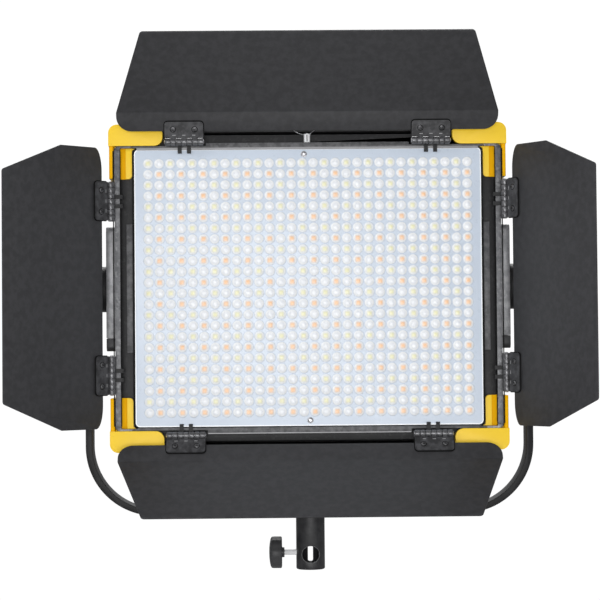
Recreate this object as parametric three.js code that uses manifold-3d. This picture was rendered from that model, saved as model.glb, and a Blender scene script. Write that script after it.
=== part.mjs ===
// LED panel light: a 720-diode studio panel with four barn doors, corner bumpers,
// a tilting U-yoke and a 5/8 inch stand socket with a clamp screw.
// Millimetres, +Z up. The diodes face -Y, +X is to the right seen from the front.
// The origin is the centre of the stand socket's mouth; all heights below are
// given from the tilt axis and moved up by PIVOT_Z at the end.

import * as THREE from "three";
import { mergeVertices } from "three/addons/utils/BufferGeometryUtils.js";
import Module from "manifold-3d";

const wasm = await Module();
wasm.setup();

// ---------------------------------------------------------------- dimensions
const PIVOT_Y = 30; // tilt axis behind the front plane
const PIVOT_Z = 265; // tilt axis above the socket mouth

// light engine
const PLATE = { w: 324, h: 258.6, t: 3, r: 4 }; // diffusing lens plate, front face at y = 0
const BOARD = { w: 319, h: 254, y: 3.3, t: 1.6 };
const SINK = { w: 322, h: 256, y: 5.2, base: 3.6, fins: 15, finT: 2, finY: 33 };

// case
const CASE = { x: 175.2, z: 149, front: 12, back: 56, wall: 2.5, r: 9 };
const BEZEL = { z: 143, y0: 8, y1: 11.7 };
const RAIL = { x0: 175.5, x1: 180.5, z: 131, top: 132.9, y0: -1, y1: 54 };

// corner bumpers
const BUMP = {
  x: 186,
  ear: 153,
  arm: 146.7,
  armIn: 133,
  armX: 135.5,
  legX: 181.2,
  legZ: 102.6,
  y0: -2,
  legY: 0.6,
  y1: 59,
};

// barn doors
const TOP_AXIS = { z: 135.9, y: -6.5 };
const BOTTOM_AXIS = { z: -137.2, y: -6.5 };
const SIDE_AXIS = { x: 183.5, y: -5 };
const TOP_HINGE_X = 115;
const SIDE_HINGE_Z = 81;
const SHEET = 1.5;
const LEAF_Y = 1.0; // leaf sheet starts this far behind its hinge axis
const REST = { top: 21, bottom: 38.3, left: 45.8, right: 57.4 }; // degrees from flat open
const DOOR = { inner: 10, bendAt: 28, bend: 20, main: 88, half: 177.5, tip: 151.3, r: 14 };
const SIDE = { inner: 10, half: 130.3, flat: 59.3, outer: 127, tip: 104.6, ex: 8.5, ez: 22 };

// hinges
const HINGE = { len: 36, seg: 7, r: 3.5, bore: 1.75, pin: 1.2, reach: 19.4, t0: -0.9, t1: 0.7 };

// yoke
const YOKE = { in: 204, out: 210, low: -212.8, t: 6, r: 65, deep: 30 };
const SOCKET = { r: 13.5, bore: 8, top: -213.1, low: -265, cross: -250.7, slot: 2.4 };
const CLAMP_Z = SOCKET.cross + 1.5;

// ---------------------------------------------------------------- helpers
function solid(geom) {
  const g = geom.index ? geom.toNonIndexed() : geom.clone();
  g.deleteAttribute("normal");
  g.deleteAttribute("uv");
  const m = mergeVertices(g, 1e-4);
  return new wasm.Manifold(
    new wasm.Mesh({
      numProp: 3,
      vertProperties: m.attributes.position.array,
      triVerts: new Uint32Array(m.index.array),
    }),
  );
}

// A block between two corners.
function block(x0, x1, y0, y1, z0, z1) {
  const g = new THREE.BoxGeometry(x1 - x0, y1 - y0, z1 - z0);
  g.translate((x0 + x1) / 2, (y0 + y1) / 2, (z0 + z1) / 2);
  return solid(g);
}

// A round bar along an axis, from a to b.
function bar(axis, r, a, b, at = [0, 0, 0], sides = 24, rb = r) {
  const g = new THREE.CylinderGeometry(rb, r, b - a, sides);
  g.translate(0, (a + b) / 2, 0);
  if (axis === "x") g.rotateZ(-Math.PI / 2);
  if (axis === "z") g.rotateX(Math.PI / 2);
  g.translate(...at);
  return solid(g);
}

// A turned piece: profile points are [radius, height along the axis].
function turned(axis, points, at = [0, 0, 0], sides = 28) {
  const g = new THREE.LatheGeometry(
    points.map((p) => new THREE.Vector2(p[0], p[1])),
    sides,
  );
  if (axis === "x") g.rotateZ(-Math.PI / 2);
  if (axis === "z") g.rotateX(Math.PI / 2);
  g.translate(...at);
  const s = solid(g);
  return s;
}

// A polygon whose corners [x, y, radius] are rounded, as a shape.
function rounded(corners, steps = 5) {
  const pts = [];
  const n = corners.length;
  for (let i = 0; i < n; i++) {
    const c = new THREE.Vector2(corners[i][0], corners[i][1]);
    const r = corners[i][2] || 0;
    if (!r) {
      pts.push(c);
      continue;
    }
    const p = new THREE.Vector2(...corners[(i + n - 1) % n].slice(0, 2)).sub(c).normalize();
    const q = new THREE.Vector2(...corners[(i + 1) % n].slice(0, 2)).sub(c).normalize();
    const half = Math.acos(THREE.MathUtils.clamp(p.dot(q), -1, 1)) / 2;
    const away = r / Math.tan(half);
    const a = c.clone().addScaledVector(p, away);
    const b = c.clone().addScaledVector(q, away);
    const mid = p.clone().add(q).normalize().multiplyScalar(r / Math.sin(half)).add(c);
    const t0 = Math.atan2(a.y - mid.y, a.x - mid.x);
    let t1 = Math.atan2(b.y - mid.y, b.x - mid.x);
    while (t1 - t0 > Math.PI) t1 -= 2 * Math.PI;
    while (t1 - t0 < -Math.PI) t1 += 2 * Math.PI;
    for (let k = 0; k <= steps; k++) {
      const t = t0 + ((t1 - t0) * k) / steps;
      pts.push(new THREE.Vector2(mid.x + r * Math.cos(t), mid.y + r * Math.sin(t)));
    }
  }
  return new THREE.Shape(pts);
}

function extruded(shape, depth) {
  return new THREE.ExtrudeGeometry(shape, { depth, steps: 1, bevelEnabled: false, curveSegments: 12 });
}
// outline in X and Z, pushed along Y
function alongY(shape, y0, y1) {
  const g = extruded(shape, y1 - y0);
  g.rotateX(Math.PI / 2);
  g.translate(0, y1, 0);
  return solid(g);
}
// outline in Y and Z, pushed along X
function alongX(shape, x0, x1) {
  const g = extruded(shape, x1 - x0);
  g.applyMatrix4(new THREE.Matrix4().makeBasis(new THREE.Vector3(0, 1, 0), new THREE.Vector3(0, 0, 1), new THREE.Vector3(1, 0, 0)));
  g.translate(x0, 0, 0);
  return solid(g);
}
// outline in X and Y, pushed along Z
function alongZ(shape, z0, z1) {
  const g = extruded(shape, z1 - z0);
  g.translate(0, 0, z0);
  return solid(g);
}
function rect(x0, x1, y0, y1, r = 0, steps = 4) {
  return rounded([[x0, y0, r], [x1, y0, r], [x1, y1, r], [x0, y1, r]], steps);
}
const sum = (list) => list.reduce((a, b) => a.add(b));
const cut = (a, list) => list.reduce((p, q) => p.subtract(q), a);

const look = (color, roughness, metalness, extra = {}) =>
  new THREE.MeshStandardMaterial({ color, roughness, metalness, ...extra });
const LOOK = {
  sheet: look(0x2e2e31, 0.62, 0.3),
  casting: look(0x343437, 0.6, 0.35),
  dark: look(0x18181a, 0.7, 0.1),
  rail: look(0x6a6a6d, 0.5, 0.6),
  block: look(0x8a8b8e, 0.45, 0.6),
  yellow: look(0xf8d155, 0.5, 0.0),
  plate: look(0xe6ecf4, 0.3, 0.0),
  steel: look(0x75767a, 0.35, 0.9),
  chrome: look(0xe8eaee, 0.12, 1.0),
  board: look(0xf3f3ee, 0.6, 0.0),
  green: look(0x1f5a3a, 0.6, 0.0),
  alu: look(0xb6b8bb, 0.4, 0.9),
  glassy: look(0x101418, 0.1, 0.0),
};

function piece(name, body, material) {
  const m = body.getMesh();
  const n = m.numProp;
  const v = new Float32Array(m.numVert * 3);
  for (let i = 0; i < m.numVert; i++) v.set(m.vertProperties.subarray(i * n, i * n + 3), i * 3);
  let g = new THREE.BufferGeometry()
    .setAttribute("position", new THREE.BufferAttribute(v, 3))
    .setIndex(new THREE.BufferAttribute(new Uint32Array(m.triVerts), 1));
  g = g.toNonIndexed();
  g.computeVertexNormals();
  const mesh = new THREE.Mesh(g, material);
  mesh.name = name;
  return mesh;
}

// ---------------------------------------------------------------- yoke and stand socket
const light = new THREE.Group();
light.position.set(0, -PIVOT_Y, PIVOT_Z);
const yoke = new THREE.Group();
light.add(yoke);

function yokeBracket() {
  const { in: a, out: b, low, t, r, deep } = YOKE;
  const top = deep / 2;
  const u = alongY(
    rounded(
      [
        [-b, top, 0],
        [-b, low, r],
        [b, low, r],
        [b, top, 0],
        [a, top, 0],
        [a, low + t, r - t],
        [-a, low + t, r - t],
        [-a, top, 0],
      ],
      7,
    ),
    PIVOT_Y - deep / 2,
    PIVOT_Y + deep / 2,
  );
  const ends = rounded([
    [PIVOT_Y - deep / 2 - 0.5, low - 5, 0],
    [PIVOT_Y + deep / 2 + 0.5, low - 5, 0],
    [PIVOT_Y + deep / 2 + 0.5, top, 14.9],
    [PIVOT_Y - deep / 2 - 0.5, top, 14.9],
  ], 5);
  return cut(u.intersect(alongX(ends, -b - 1, b + 1)), [
    bar("x", 4.8, -b - 1, b + 1, [0, PIVOT_Y, 0], 12),
    bar("z", 4.8, low - 1, low + t + 1, [0, PIVOT_Y, 0], 12),
  ]);
}
yoke.add(piece("yoke_bracket", yokeBracket(), LOOK.casting));

function standSocket() {
  const { r, bore, top, low, cross, slot } = SOCKET;
  const c = [0, PIVOT_Y, 0];
  const tube = turned(
    "z",
    [[0, low], [r - 0.8, low], [r, low + 0.8], [r, top], [0, top]],
    c,
    24,
  );
  return cut(tube, [
    bar("z", bore, low - 1, low + 41, c, 20),
    bar("z", 4.6, low + 35, top + 1, c, 12),
    // round at the front, a narrow upright slot at the back
    bar("y", bore, -20, 2, [0, PIVOT_Y, cross], 16),
    block(-slot, slot, PIVOT_Y, PIVOT_Y + 20, cross - bore, cross + bore),
    bar("x", 3.35, -r - 2, -5, [0, PIVOT_Y, CLAMP_Z], 12),
  ]);
}
yoke.add(piece("stand_socket", standSocket(), LOOK.casting));

const socketBolt = sum([
  bar("z", 4.2, -225.3, -206.2, [0, PIVOT_Y, 0], 16),
  bar("z", 7, -206.5, -201.3, [0, PIVOT_Y, 0], 6),
]);
yoke.add(piece("socket_bolt", socketBolt, LOOK.steel));

// A knob with eight lobes, its axis along X, its outer face slightly crowned.
function lobed(x0, x1, r, lobes, depth) {
  const n = lobes * 4;
  const pts = [];
  for (let i = 0; i < n; i++) {
    const t = (2 * Math.PI * i) / n;
    const k = r - depth * (0.5 - 0.5 * Math.cos(lobes * t)) ** 1.5;
    pts.push(new THREE.Vector2(k * Math.cos(t), k * Math.sin(t)));
  }
  return alongX(new THREE.Shape(pts), x0, x1);
}
const clampAt = new THREE.Group();
clampAt.position.set(0, PIVOT_Y, CLAMP_Z);
yoke.add(clampAt);
const clampKnob = cut(
  sum([
    lobed(-38.9, -26.8, 14.9, 8, 0.5).intersect(
      turned("x", [[0, -39], [9, -38.6], [13.4, -37.6], [15, -36], [15, -26.8], [0, -26.8]], [0, 0, 0], 16),
    ),
    bar("x", 4.75, -27, -24.6, [0, 0, 0], 20),
  ]),
  [bar("x", 3.2, -34, -24, [0, 0, 0], 16)],
);
clampAt.add(piece("clamp_knob", clampKnob, LOOK.dark));
clampAt.add(
  piece(
    "clamp_screw",
    turned("x", [[0, -33.7], [2.9, -33.7], [2.9, -9.2], [2.2, -8.4], [0, -8.4]], [0, 0, 0], 16),
    LOOK.chrome,
  ),
);

// tilt knobs, each with its moulded-in stud through the arm and the hub
for (const [side, s] of [["left", -1], ["right", 1]]) {
  const k = new THREE.Group();
  k.position.set(0, PIVOT_Y, 0);
  if (s < 0) k.rotation.z = Math.PI;
  yoke.add(k);
  const knob = sum([
    lobed(217.5, 234, 19.5, 8, 3).intersect(
      turned("x", [[0, 217.4], [19.6, 217.5], [19.6, 229], [14, 234], [0, 234.1]], [0, 0, 0], 16),
    ),
    bar("x", 9.5, 210.4, 217.8, [0, 0, 0], 16),
    bar("x", 4.2, 183.5, 211, [0, 0, 0], 12),
  ]);
  k.add(piece("tilt_knob_" + side, knob, LOOK.dark));
}

// ---------------------------------------------------------------- the panel, which tilts
const panel = new THREE.Group();
light.add(panel);

const lensPlate = alongY(
  rect(-PLATE.w / 2, PLATE.w / 2, -PLATE.h / 2, PLATE.h / 2, PLATE.r),
  0,
  PLATE.t,
);
panel.add(piece("lens_plate", lensPlate, LOOK.plate));
panel.add(
  piece(
    "led_board",
    block(-BOARD.w / 2, BOARD.w / 2, BOARD.y, BOARD.y + BOARD.t, -BOARD.h / 2, BOARD.h / 2),
    LOOK.board,
  ),
);

function heatsink() {
  const { w, h, y, base, fins, finT, finY } = SINK;
  const list = [block(-w / 2, w / 2, y, y + base, -h / 2, h / 2)];
  for (let i = 0; i < fins; i++) {
    const x = -150 + (300 * i) / (fins - 1);
    list.push(block(x - finT / 2, x + finT / 2, y + base - 0.5, finY, -h / 2 + 4, h / 2 - 4));
  }
  return sum(list);
}
panel.add(piece("heatsink", heatsink(), LOOK.alu));

// The bezel: a ring round the lens plate with the raised top and bottom rails and
// the stepped band down each side.
function bezel() {
  const ring = cut(
    alongY(rect(-CASE.x, CASE.x, -BEZEL.z, BEZEL.z, 6), BEZEL.y0, BEZEL.y1),
    [block(-163, 163, BEZEL.y0 - 1, BEZEL.y1 + 1, -129.9, 129.9)],
  );
  const parts = [ring];
  for (const s of [-1, 1]) {
    parts.push(block(-160, 160, -0.6, BEZEL.y0 + 0.5, s > 0 ? 130.1 : -132.7, s > 0 ? 132.7 : -130.1));
    parts.push(block(-164.6, 164.6, -0.6, 1.6, s > 0 ? 130.9 : -132.7, s > 0 ? 132.7 : -130.9));
    parts.push(block(-95, 95, -0.6, BEZEL.y0 + 0.5, s > 0 ? 132 : -135.2, s > 0 ? 135.2 : -132));
    parts.push(block(s > 0 ? 163.6 : -169.8, s > 0 ? 169.8 : -163.6, 3.6, BEZEL.y0 + 0.5, -60, 60));
  }
  return sum(parts);
}
panel.add(piece("front_bezel", bezel(), LOOK.casting));

// rear case, a tub open at the front
const CTRL = {
  display: { x0: -36, x1: 36, z0: -58, z1: -18 },
  dimmer: [-62, -38],
  colour: [62, -38],
  menu: [-22, -76],
  mode: [22, -76],
  power: [120, -104],
  inlet: [-118, -104],
};
function rearHousing() {
  const { x, z, front, back, wall, r } = CASE;
  const tub = alongY(rect(-x, x, -z, z, r, 5), front, back).subtract(
    alongY(rect(-x + wall, x - wall, -z + wall, z - wall, r - wall, 4), front - 1, back - wall),
  );
  const y0 = back - wall - 1;
  const y1 = back + 1;
  const holes = [
    alongY(rect(CTRL.display.x0, CTRL.display.x1, CTRL.display.z0, CTRL.display.z1, 3, 3), y0, y1),
    bar("y", 4.2, y0, y1, [CTRL.dimmer[0], 0, CTRL.dimmer[1]], 16),
    bar("y", 4.2, y0, y1, [CTRL.colour[0], 0, CTRL.colour[1]], 16),
    bar("y", 5.3, y0, y1, [CTRL.menu[0], 0, CTRL.menu[1]], 20),
    bar("y", 5.3, y0, y1, [CTRL.mode[0], 0, CTRL.mode[1]], 20),
    block(CTRL.power[0] - 10.3, CTRL.power[0] + 10.3, y0, y1, CTRL.power[1] - 7.3, CTRL.power[1] + 7.3),
    block(CTRL.inlet[0] - 14.3, CTRL.inlet[0] + 14.3, y0, y1, CTRL.inlet[1] - 10.8, CTRL.inlet[1] + 10.8),
  ];
  for (let i = 0; i < 11; i++) {
    const cx = -130 + 26 * i;
    holes.push(block(cx - 3.5, cx + 3.5, y0, y1, 30, 108));
  }
  for (const s of [-1, 1])
    for (let i = 0; i < 3; i++) {
      const cx = s * (108 + 18 * i);
      holes.push(block(cx - 3.5, cx + 3.5, y0, y1, -70, 2));
    }
  return cut(tub, holes);
}
panel.add(piece("rear_housing", rearHousing(), LOOK.casting));

// boards inside
const driver = sum([
  block(-150, -10, 36, 37.6, -120, 110),
  block(-140, -104, 37.3, 52, -60, -10),
  block(-100, -70, 37.3, 50, -70, -34),
  block(-92, -72, 37.3, 51, 10, 62),
  block(-60, -22, 37.3, 46, -20, 60),
  bar("y", 9, 37.3, 51, [-118, 0, 34], 14),
  bar("y", 9, 37.3, 51, [-118, 0, 58], 14),
  bar("y", 7, 37.3, 48, [-40, 0, -60], 14),
]);
panel.add(piece("driver_board", driver, LOOK.green));
const control = sum([
  block(10, 150, 36, 37.6, -120, 110),
  block(40, 84, 37.3, 41, -60, -18),
  block(96, 118, 37.3, 41, 10, 32),
  block(20, 32, 37.3, 40, -82, -70),
]);
panel.add(piece("control_board", control, LOOK.green));

// controls on the back
const display = sum([
  alongY(rect(-35.6, 35.6, -57.6, -18.4, 2.7, 3), 53.2, 56.4),
  alongY(rect(-38.5, 38.5, -60.5, -15.5, 3, 3), 50.4, 53.2),
]);
panel.add(piece("display_window", display, LOOK.glassy));
function encoder(x, z) {
  return sum([
    turned("y", [[0, 57], [13, 57], [13, 69.2], [11.6, 70.6], [0, 70.6]], [x, 0, z], 20),
    bar("y", 3.2, 42, 57.5, [x, 0, z], 10),
  ]);
}
panel.add(piece("dimmer_knob", encoder(...CTRL.dimmer), LOOK.dark));
panel.add(piece("colour_knob", encoder(...CTRL.colour), LOOK.dark));
function button(x, z) {
  return sum([
    turned("y", [[0, 52], [4.9, 52], [4.9, 57.6], [4.2, 58.4], [0, 58.4]], [x, 0, z], 12),
    bar("y", 6.4, 50.5, 52.3, [x, 0, z], 12),
  ]);
}
panel.add(piece("menu_button", button(...CTRL.menu), LOOK.dark));
panel.add(piece("mode_button", button(...CTRL.mode), LOOK.dark));
// rocker: two faces that meet in a shallow valley over its axis
const rocker = alongX(
  rounded([
    [49, CTRL.power[1] - 5.4, 0],
    [49, CTRL.power[1] + 5.4, 0],
    [57.6, CTRL.power[1] + 5.8, 0],
    [56.4, CTRL.power[1], 0],
    [57.6, CTRL.power[1] - 5.8, 0],
  ]),
  CTRL.power[0] - 9.8,
  CTRL.power[0] + 9.8,
);
panel.add(piece("power_switch", rocker, LOOK.dark));
const inlet = sum([
  cut(
    sum([
      alongY(rect(CTRL.inlet[0] - 19, CTRL.inlet[0] + 19, CTRL.inlet[1] - 13.5, CTRL.inlet[1] + 13.5, 3, 3), 56.3, 58.6),
      block(CTRL.inlet[0] - 13.9, CTRL.inlet[0] + 13.9, 40, 56.6, CTRL.inlet[1] - 10.4, CTRL.inlet[1] + 10.4),
    ]),
    [
      alongY(
        rounded([
          [CTRL.inlet[0] - 12, CTRL.inlet[1] - 8.2, 1.5],
          [CTRL.inlet[0] + 12, CTRL.inlet[1] - 8.2, 1.5],
          [CTRL.inlet[0] + 12, CTRL.inlet[1] + 4, 0],
          [CTRL.inlet[0] + 8, CTRL.inlet[1] + 8.2, 0],
          [CTRL.inlet[0] - 8, CTRL.inlet[1] + 8.2, 0],
          [CTRL.inlet[0] - 12, CTRL.inlet[1] + 4, 0],
        ], 3),
        42,
        60,
      ),
    ],
  ),
  ...[[-7, -1.5], [0, 2], [7, -1.5]].map(([dx, dz]) =>
    block(CTRL.inlet[0] + dx - 1, CTRL.inlet[0] + dx + 1, 41.5, 51, CTRL.inlet[1] + dz - 2, CTRL.inlet[1] + dz + 2),
  ),
]);
panel.add(piece("power_inlet", inlet, LOOK.dark));

// Side rails: bars down each side, with a shallow groove on the outside. At both
// ends the front edge turns the corner and runs on under the bumper's arm.
for (const [side, s] of [["left", -1], ["right", 1]]) {
  const { x0, x1, z, top, y0, y1 } = RAIL;
  const bar0 = alongX(
    rounded([[y0, -z, 2.5], [y1, -z, 2.5], [y1, z, 2.5], [y0, z, 2.5]], 3),
    s > 0 ? x0 : -x1,
    s > 0 ? x1 : -x0,
  );
  const groove = block(s > 0 ? x1 - 1.2 : -x1 - 1, s > 0 ? x1 + 1 : -x1 + 1.2, 47, 50, -z - 1, z + 1);
  const turns = [];
  for (const k of [-1, 1]) {
    const lip = [
      [s * x0, k * 122, 0],
      [s * x1, k * 122, 0],
      [s * x1, k * top, 4],
      [s * 165, k * top, 0],
      [s * 165, k * 130.9, 0],
      [s * x0, k * 130.9, 1.4],
    ];
    turns.push(alongY(rounded(s * k > 0 ? lip : lip.reverse(), 4), -0.6, 1.6));
  }
  panel.add(piece("side_rail_" + side, sum([bar0.subtract(groove), ...turns]), LOOK.rail));
}

// Corner bumpers, drawn for the top right corner and mirrored to the other three.
function bumper(sx, sz) {
  const b = BUMP;
  const arm = alongY(
    rounded(
      [
        [b.armX, b.armIn, 8],
        [b.x, b.armIn, 0],
        [b.x, b.ear, 8],
        [b.x - 14, b.ear, 6],
        [b.x - 26, b.arm, 8],
        [b.armX, b.arm, 1.5],
      ],
      3,
    ),
    b.y0,
    7.7,
  );
  const cap = alongY(
    rounded(
      [
        [166.5, 149.5, 0],
        [175.6, 149.5, 0],
        [175.6, 131.4, 0],
        [b.x, 131.4, 0],
        [b.x, b.ear, 8],
        [b.x - 14, b.ear, 6],
        [b.x - 19, 150.2, 0],
      ],
      3,
    ),
    7,
    b.y1,
  );
  // outer leg, rounded over at the front
  const outer = alongZ(
    rounded([[b.legX, b.legY, 2], [b.x - 0.4, b.legY, 2], [b.x - 0.4, b.y1, 0], [b.legX, b.y1, 0]], 3),
    b.legZ,
    142,
  );
  // inner part: a low face next to the lens plate and a step down beside the rail;
  // a hollow curve at the top follows the plate's corner
  const hollow = alongY(
    new THREE.Shape([
      [164.2, 128.5],
      [163.7, 129.4],
      [162.8, 130.1],
      [161.4, 130.6],
      [172, 130.6],
      [172, 128.5],
    ].map((p) => new THREE.Vector2(...p))),
    3.3,
    7.7,
  );
  const inner = sum([
    alongY(rounded([[164.2, 102.2, 3], [175.2, 102.2, 0], [175.2, 134, 0], [164.2, 134, 0]], 3), 6, 7.7),
    alongY(rounded([[164.2, 102.2, 3], [170, 102.2, 0], [170, 130.6, 0], [164.2, 130.6, 0]], 3), 2, 6.3),
    block(169.5, 175.2, 4.8, 7.7, 102.2, 130.6),
    hollow,
  ]);
  const back = alongY(
    rounded([[150, 118, 5], [172, 104, 4], [b.x, 104, 0], [b.x, 145, 0], [172, 152, 0], [166, 149.6, 0], [150, 149, 2]], 2),
    56.4,
    b.y1,
  );
  let s = sum([arm, cap, outer, inner, back]);
  if (sx < 0 || sz < 0) {
    const m = s.getMesh();
    const v = new Float32Array(m.vertProperties);
    for (let i = 0; i < v.length; i += m.numProp) {
      v[i] *= sx;
      v[i + 2] *= sz;
    }
    const t = new Uint32Array(m.triVerts);
    if (sx * sz < 0) for (let i = 0; i < t.length; i += 3) [t[i + 1], t[i + 2]] = [t[i + 2], t[i + 1]];
    s = new wasm.Manifold(new wasm.Mesh({ numProp: m.numProp, vertProperties: v, triVerts: t }));
  }
  return s;
}
panel.add(piece("bumper_top_left", bumper(-1, 1), LOOK.yellow));
panel.add(piece("bumper_top_right", bumper(1, 1), LOOK.yellow));
panel.add(piece("bumper_bottom_left", bumper(-1, -1), LOOK.yellow));
panel.add(piece("bumper_bottom_right", bumper(1, -1), LOOK.yellow));

// tilt blocks on the side rails, each with a round hub that rubs on the yoke arm
for (const [side, s] of [["left", -1], ["right", 1]]) {
  const g = new THREE.Group();
  g.position.set(0, PIVOT_Y, 0);
  if (s < 0) g.rotation.z = Math.PI;
  panel.add(g);
  const body = alongX(rect(-14, 14, -58.5, 58.5, 4, 4), 180.8, 190).subtract(bar("x", 4.8, 183, 191, [0, 0, 0], 10));
  g.add(piece("pivot_block_" + side, body, LOOK.block));
  const hub = cut(
    turned(
      "x",
      [[0, 190.3], [21.5, 190.3], [21.5, 197], [18, 198.2], [18, 199.6], [21.5, 200.8], [21.5, 203.6], [0, 203.6]],
      [0, 0, 0],
      16,
    ),
    [bar("x", 4.8, 189, 206, [0, 0, 0], 10)],
  );
  g.add(piece("pivot_hub_" + side, hub, LOOK.casting));
}

// latch pin that holds the barn-door frame, with its pull loop
const latch = sum([
  turned("z", [[0, 135.4], [3, 135.4], [3, 143.2], [2.3, 144], [0, 144]], [-0.4, 3, 0], 12),
]);
panel.add(piece("latch_pin", latch, LOOK.chrome));

// ---------------------------------------------------------------- barn doors
// Each door is drawn in a frame of its own: X along its hinge axis, +Z outwards
// along the leaf, -Y towards the light's front, origin on the hinge axis.
const seg = HINGE.len / HINGE.seg;
const span = (i) => [(-HINGE.seg / 2 + i) * seg + 0.15, (-HINGE.seg / 2 + i + 1) * seg - 0.15];

function hingeBase(kind) {
  const parts = [];
  for (const i of [0, 2, 4, 6]) {
    // odd knuckles of seven, fixed to the case
    const [a, b] = span(i === 0 ? 0 : i === 2 ? 2 : i === 4 ? 4 : 6);
    parts.push(bar("x", HINGE.r, a, b, [0, 0, 0], 8));
    parts.push(block(a, b, 0.5, 4.4, kind === "side" ? -2.7 : -3.0, 3.0));
  }
  if (kind === "side") {
    parts.push(block(-18, 18, 4.0, 17, -2.7, 3.2));
    for (const s of [-1, 1]) parts.push(block(s * 4.3 - 1.85, s * 4.3 + 1.85, 2.2, 3.6, -11.2, 1));
  } else {
    parts.push(block(-18, 18, 4.0, 14.2, -2.5, 3.2));
    for (const s of [-1, 1]) parts.push(block(s * 4.3 - 1.85, s * 4.3 + 1.85, 4.2, 5.6, -10.5, 1));
  }
  return sum(parts).subtract(bar("x", HINGE.bore, -19, 19, [0, 0, 0], 6));
}

function hingePlate() {
  const { t0, t1, reach } = HINGE;
  const plate = alongY(rounded([[-18, 4.2, 0.6], [18, 4.2, 0.6], [18, reach, 3.2], [-18, reach, 3.2]], 3), t0, t1);
  const parts = [plate];
  for (const i of [1, 3, 5]) {
    const [a, b] = span(i);
    parts.push(bar("x", HINGE.r, a, b, [0, 0, 0], 8));
    parts.push(block(a, b, t0, t1, 0, 5));
  }
  return sum(parts).subtract(bar("x", HINGE.bore, -19, 19, [0, 0, 0], 6));
}
const hingePin = () =>
  turned("x", [[0, -18.6], [2, -18.6], [2, -18.2], [HINGE.pin, -18.2], [HINGE.pin, 18.4], [0, 18.4]], [0, 0, 0], 6);

// top and bottom leaves: a strip, a bend towards the beam, and the main flap
function bentLeaf() {
  const d = DOOR;
  const a = THREE.MathUtils.degToRad(d.bend);
  const y0 = LEAF_Y;
  const y1 = LEAF_Y + SHEET;
  // cross-section in Y and Z: the front line, then the back line offset by the sheet
  const line = (off) => {
    const kz = d.bendAt + off * Math.tan(a / 2);
    const ks = d.bendAt + 0;
    const dir = [-Math.sin(a), Math.cos(a)];
    const nrm = [Math.cos(a), Math.sin(a)];
    const k = [off, ks + off * Math.tan(a / 2)];
    const tip = [nrm[0] * (off - y0) + y0 + dir[0] * d.main, ks + y0 * Math.tan(a / 2) + nrm[1] * (off - y0) + dir[1] * d.main];
    return { k, tip, kz };
  };
  const f = line(y0);
  const b = line(y1);
  const profile = rounded([
    [y0, d.inner, 0],
    [y1, d.inner, 0],
    [b.k[0], b.k[1], 4],
    [b.tip[0], b.tip[1], 0],
    [f.tip[0], f.tip[1], 0],
    [f.k[0], f.k[1], 2.5],
  ], 3);
  const folded = alongX(profile, -d.half - 1, d.half + 1);
  const zt = b.tip[1] + 0.02;
  const outline = rounded([
    [-d.half, d.inner, d.r],
    [d.half, d.inner, d.r],
    [d.half, d.bendAt, 0],
    [d.tip, zt, 4],
    [-d.tip, zt, 4],
    [-d.half, d.bendAt, 0],
  ], 6);
  return folded.intersect(alongY(outline, -60, 20));
}
function flatLeaf() {
  const s = SIDE;
  const pts = [];
  const arc = (sx, from) => {
    for (let i = 0; i <= 7; i++) {
      const t = (Math.PI / 2) * (from ? 1 - i / 7 : i / 7);
      // quarter ellipse from the inner edge to the side
      pts.push(new THREE.Vector2(sx * (s.half - s.ez + s.ez * Math.sin(t)), s.inner + s.ex - s.ex * Math.cos(t)));
    }
  };
  arc(1, false);
  pts.push(new THREE.Vector2(s.half, s.flat));
  pts.push(new THREE.Vector2(s.tip + 1.6, s.outer - 4));
  pts.push(new THREE.Vector2(s.tip + 0.4, s.outer - 1.2));
  pts.push(new THREE.Vector2(s.tip - 3, s.outer));
  pts.push(new THREE.Vector2(-s.tip + 3, s.outer));
  pts.push(new THREE.Vector2(-s.tip - 0.4, s.outer - 1.2));
  pts.push(new THREE.Vector2(-s.tip - 1.6, s.outer - 4));
  pts.push(new THREE.Vector2(-s.half, s.flat));
  arc(-1, true);
  return alongY(new THREE.Shape(pts), LEAF_Y, LEAF_Y + SHEET);
}

function door(name, kind, at, turn, rest, hingeAt) {
  const base = new THREE.Group();
  base.position.set(...at);
  base.rotation.y = THREE.MathUtils.degToRad(turn);
  panel.add(base);
  const swing = new THREE.Group();
  swing.rotation.x = THREE.MathUtils.degToRad(rest);
  base.add(swing);
  swing.add(piece("door_" + name, kind === "side" ? flatLeaf() : bentLeaf(), LOOK.sheet));
  for (const [tag, x] of hingeAt) {
    const hb = piece("hinge_base_" + name + "_" + tag, hingeBase(kind), LOOK.steel);
    hb.position.x = x;
    base.add(hb);
    const pin = piece("hinge_pin_" + name + "_" + tag, hingePin(), LOOK.steel);
    pin.position.x = x;
    base.add(pin);
    const hp = piece("hinge_plate_" + name + "_" + tag, hingePlate(), LOOK.sheet);
    hp.position.x = x;
    swing.add(hp);
  }
}
// hinge tags: l and r as seen from the front on the top and bottom doors,
// u and d for the upper and lower one on the side doors
door("top", "top", [0, TOP_AXIS.y, TOP_AXIS.z], 0, REST.top, [["l", -TOP_HINGE_X], ["r", TOP_HINGE_X]]);
door("bottom", "top", [0, BOTTOM_AXIS.y, BOTTOM_AXIS.z], 180, REST.bottom, [["l", TOP_HINGE_X], ["r", -TOP_HINGE_X]]);
door("left", "side", [-SIDE_AXIS.x, SIDE_AXIS.y, 0], -90, REST.left, [["u", SIDE_HINGE_Z], ["d", -SIDE_HINGE_Z]]);
door("right", "side", [SIDE_AXIS.x, SIDE_AXIS.y, 0], 90, REST.right, [["u", -SIDE_HINGE_Z], ["d", SIDE_HINGE_Z]]);

export default light;
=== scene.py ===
import math

import bmesh
import bpy
from mathutils import Matrix, Quaternion, Vector


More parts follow.
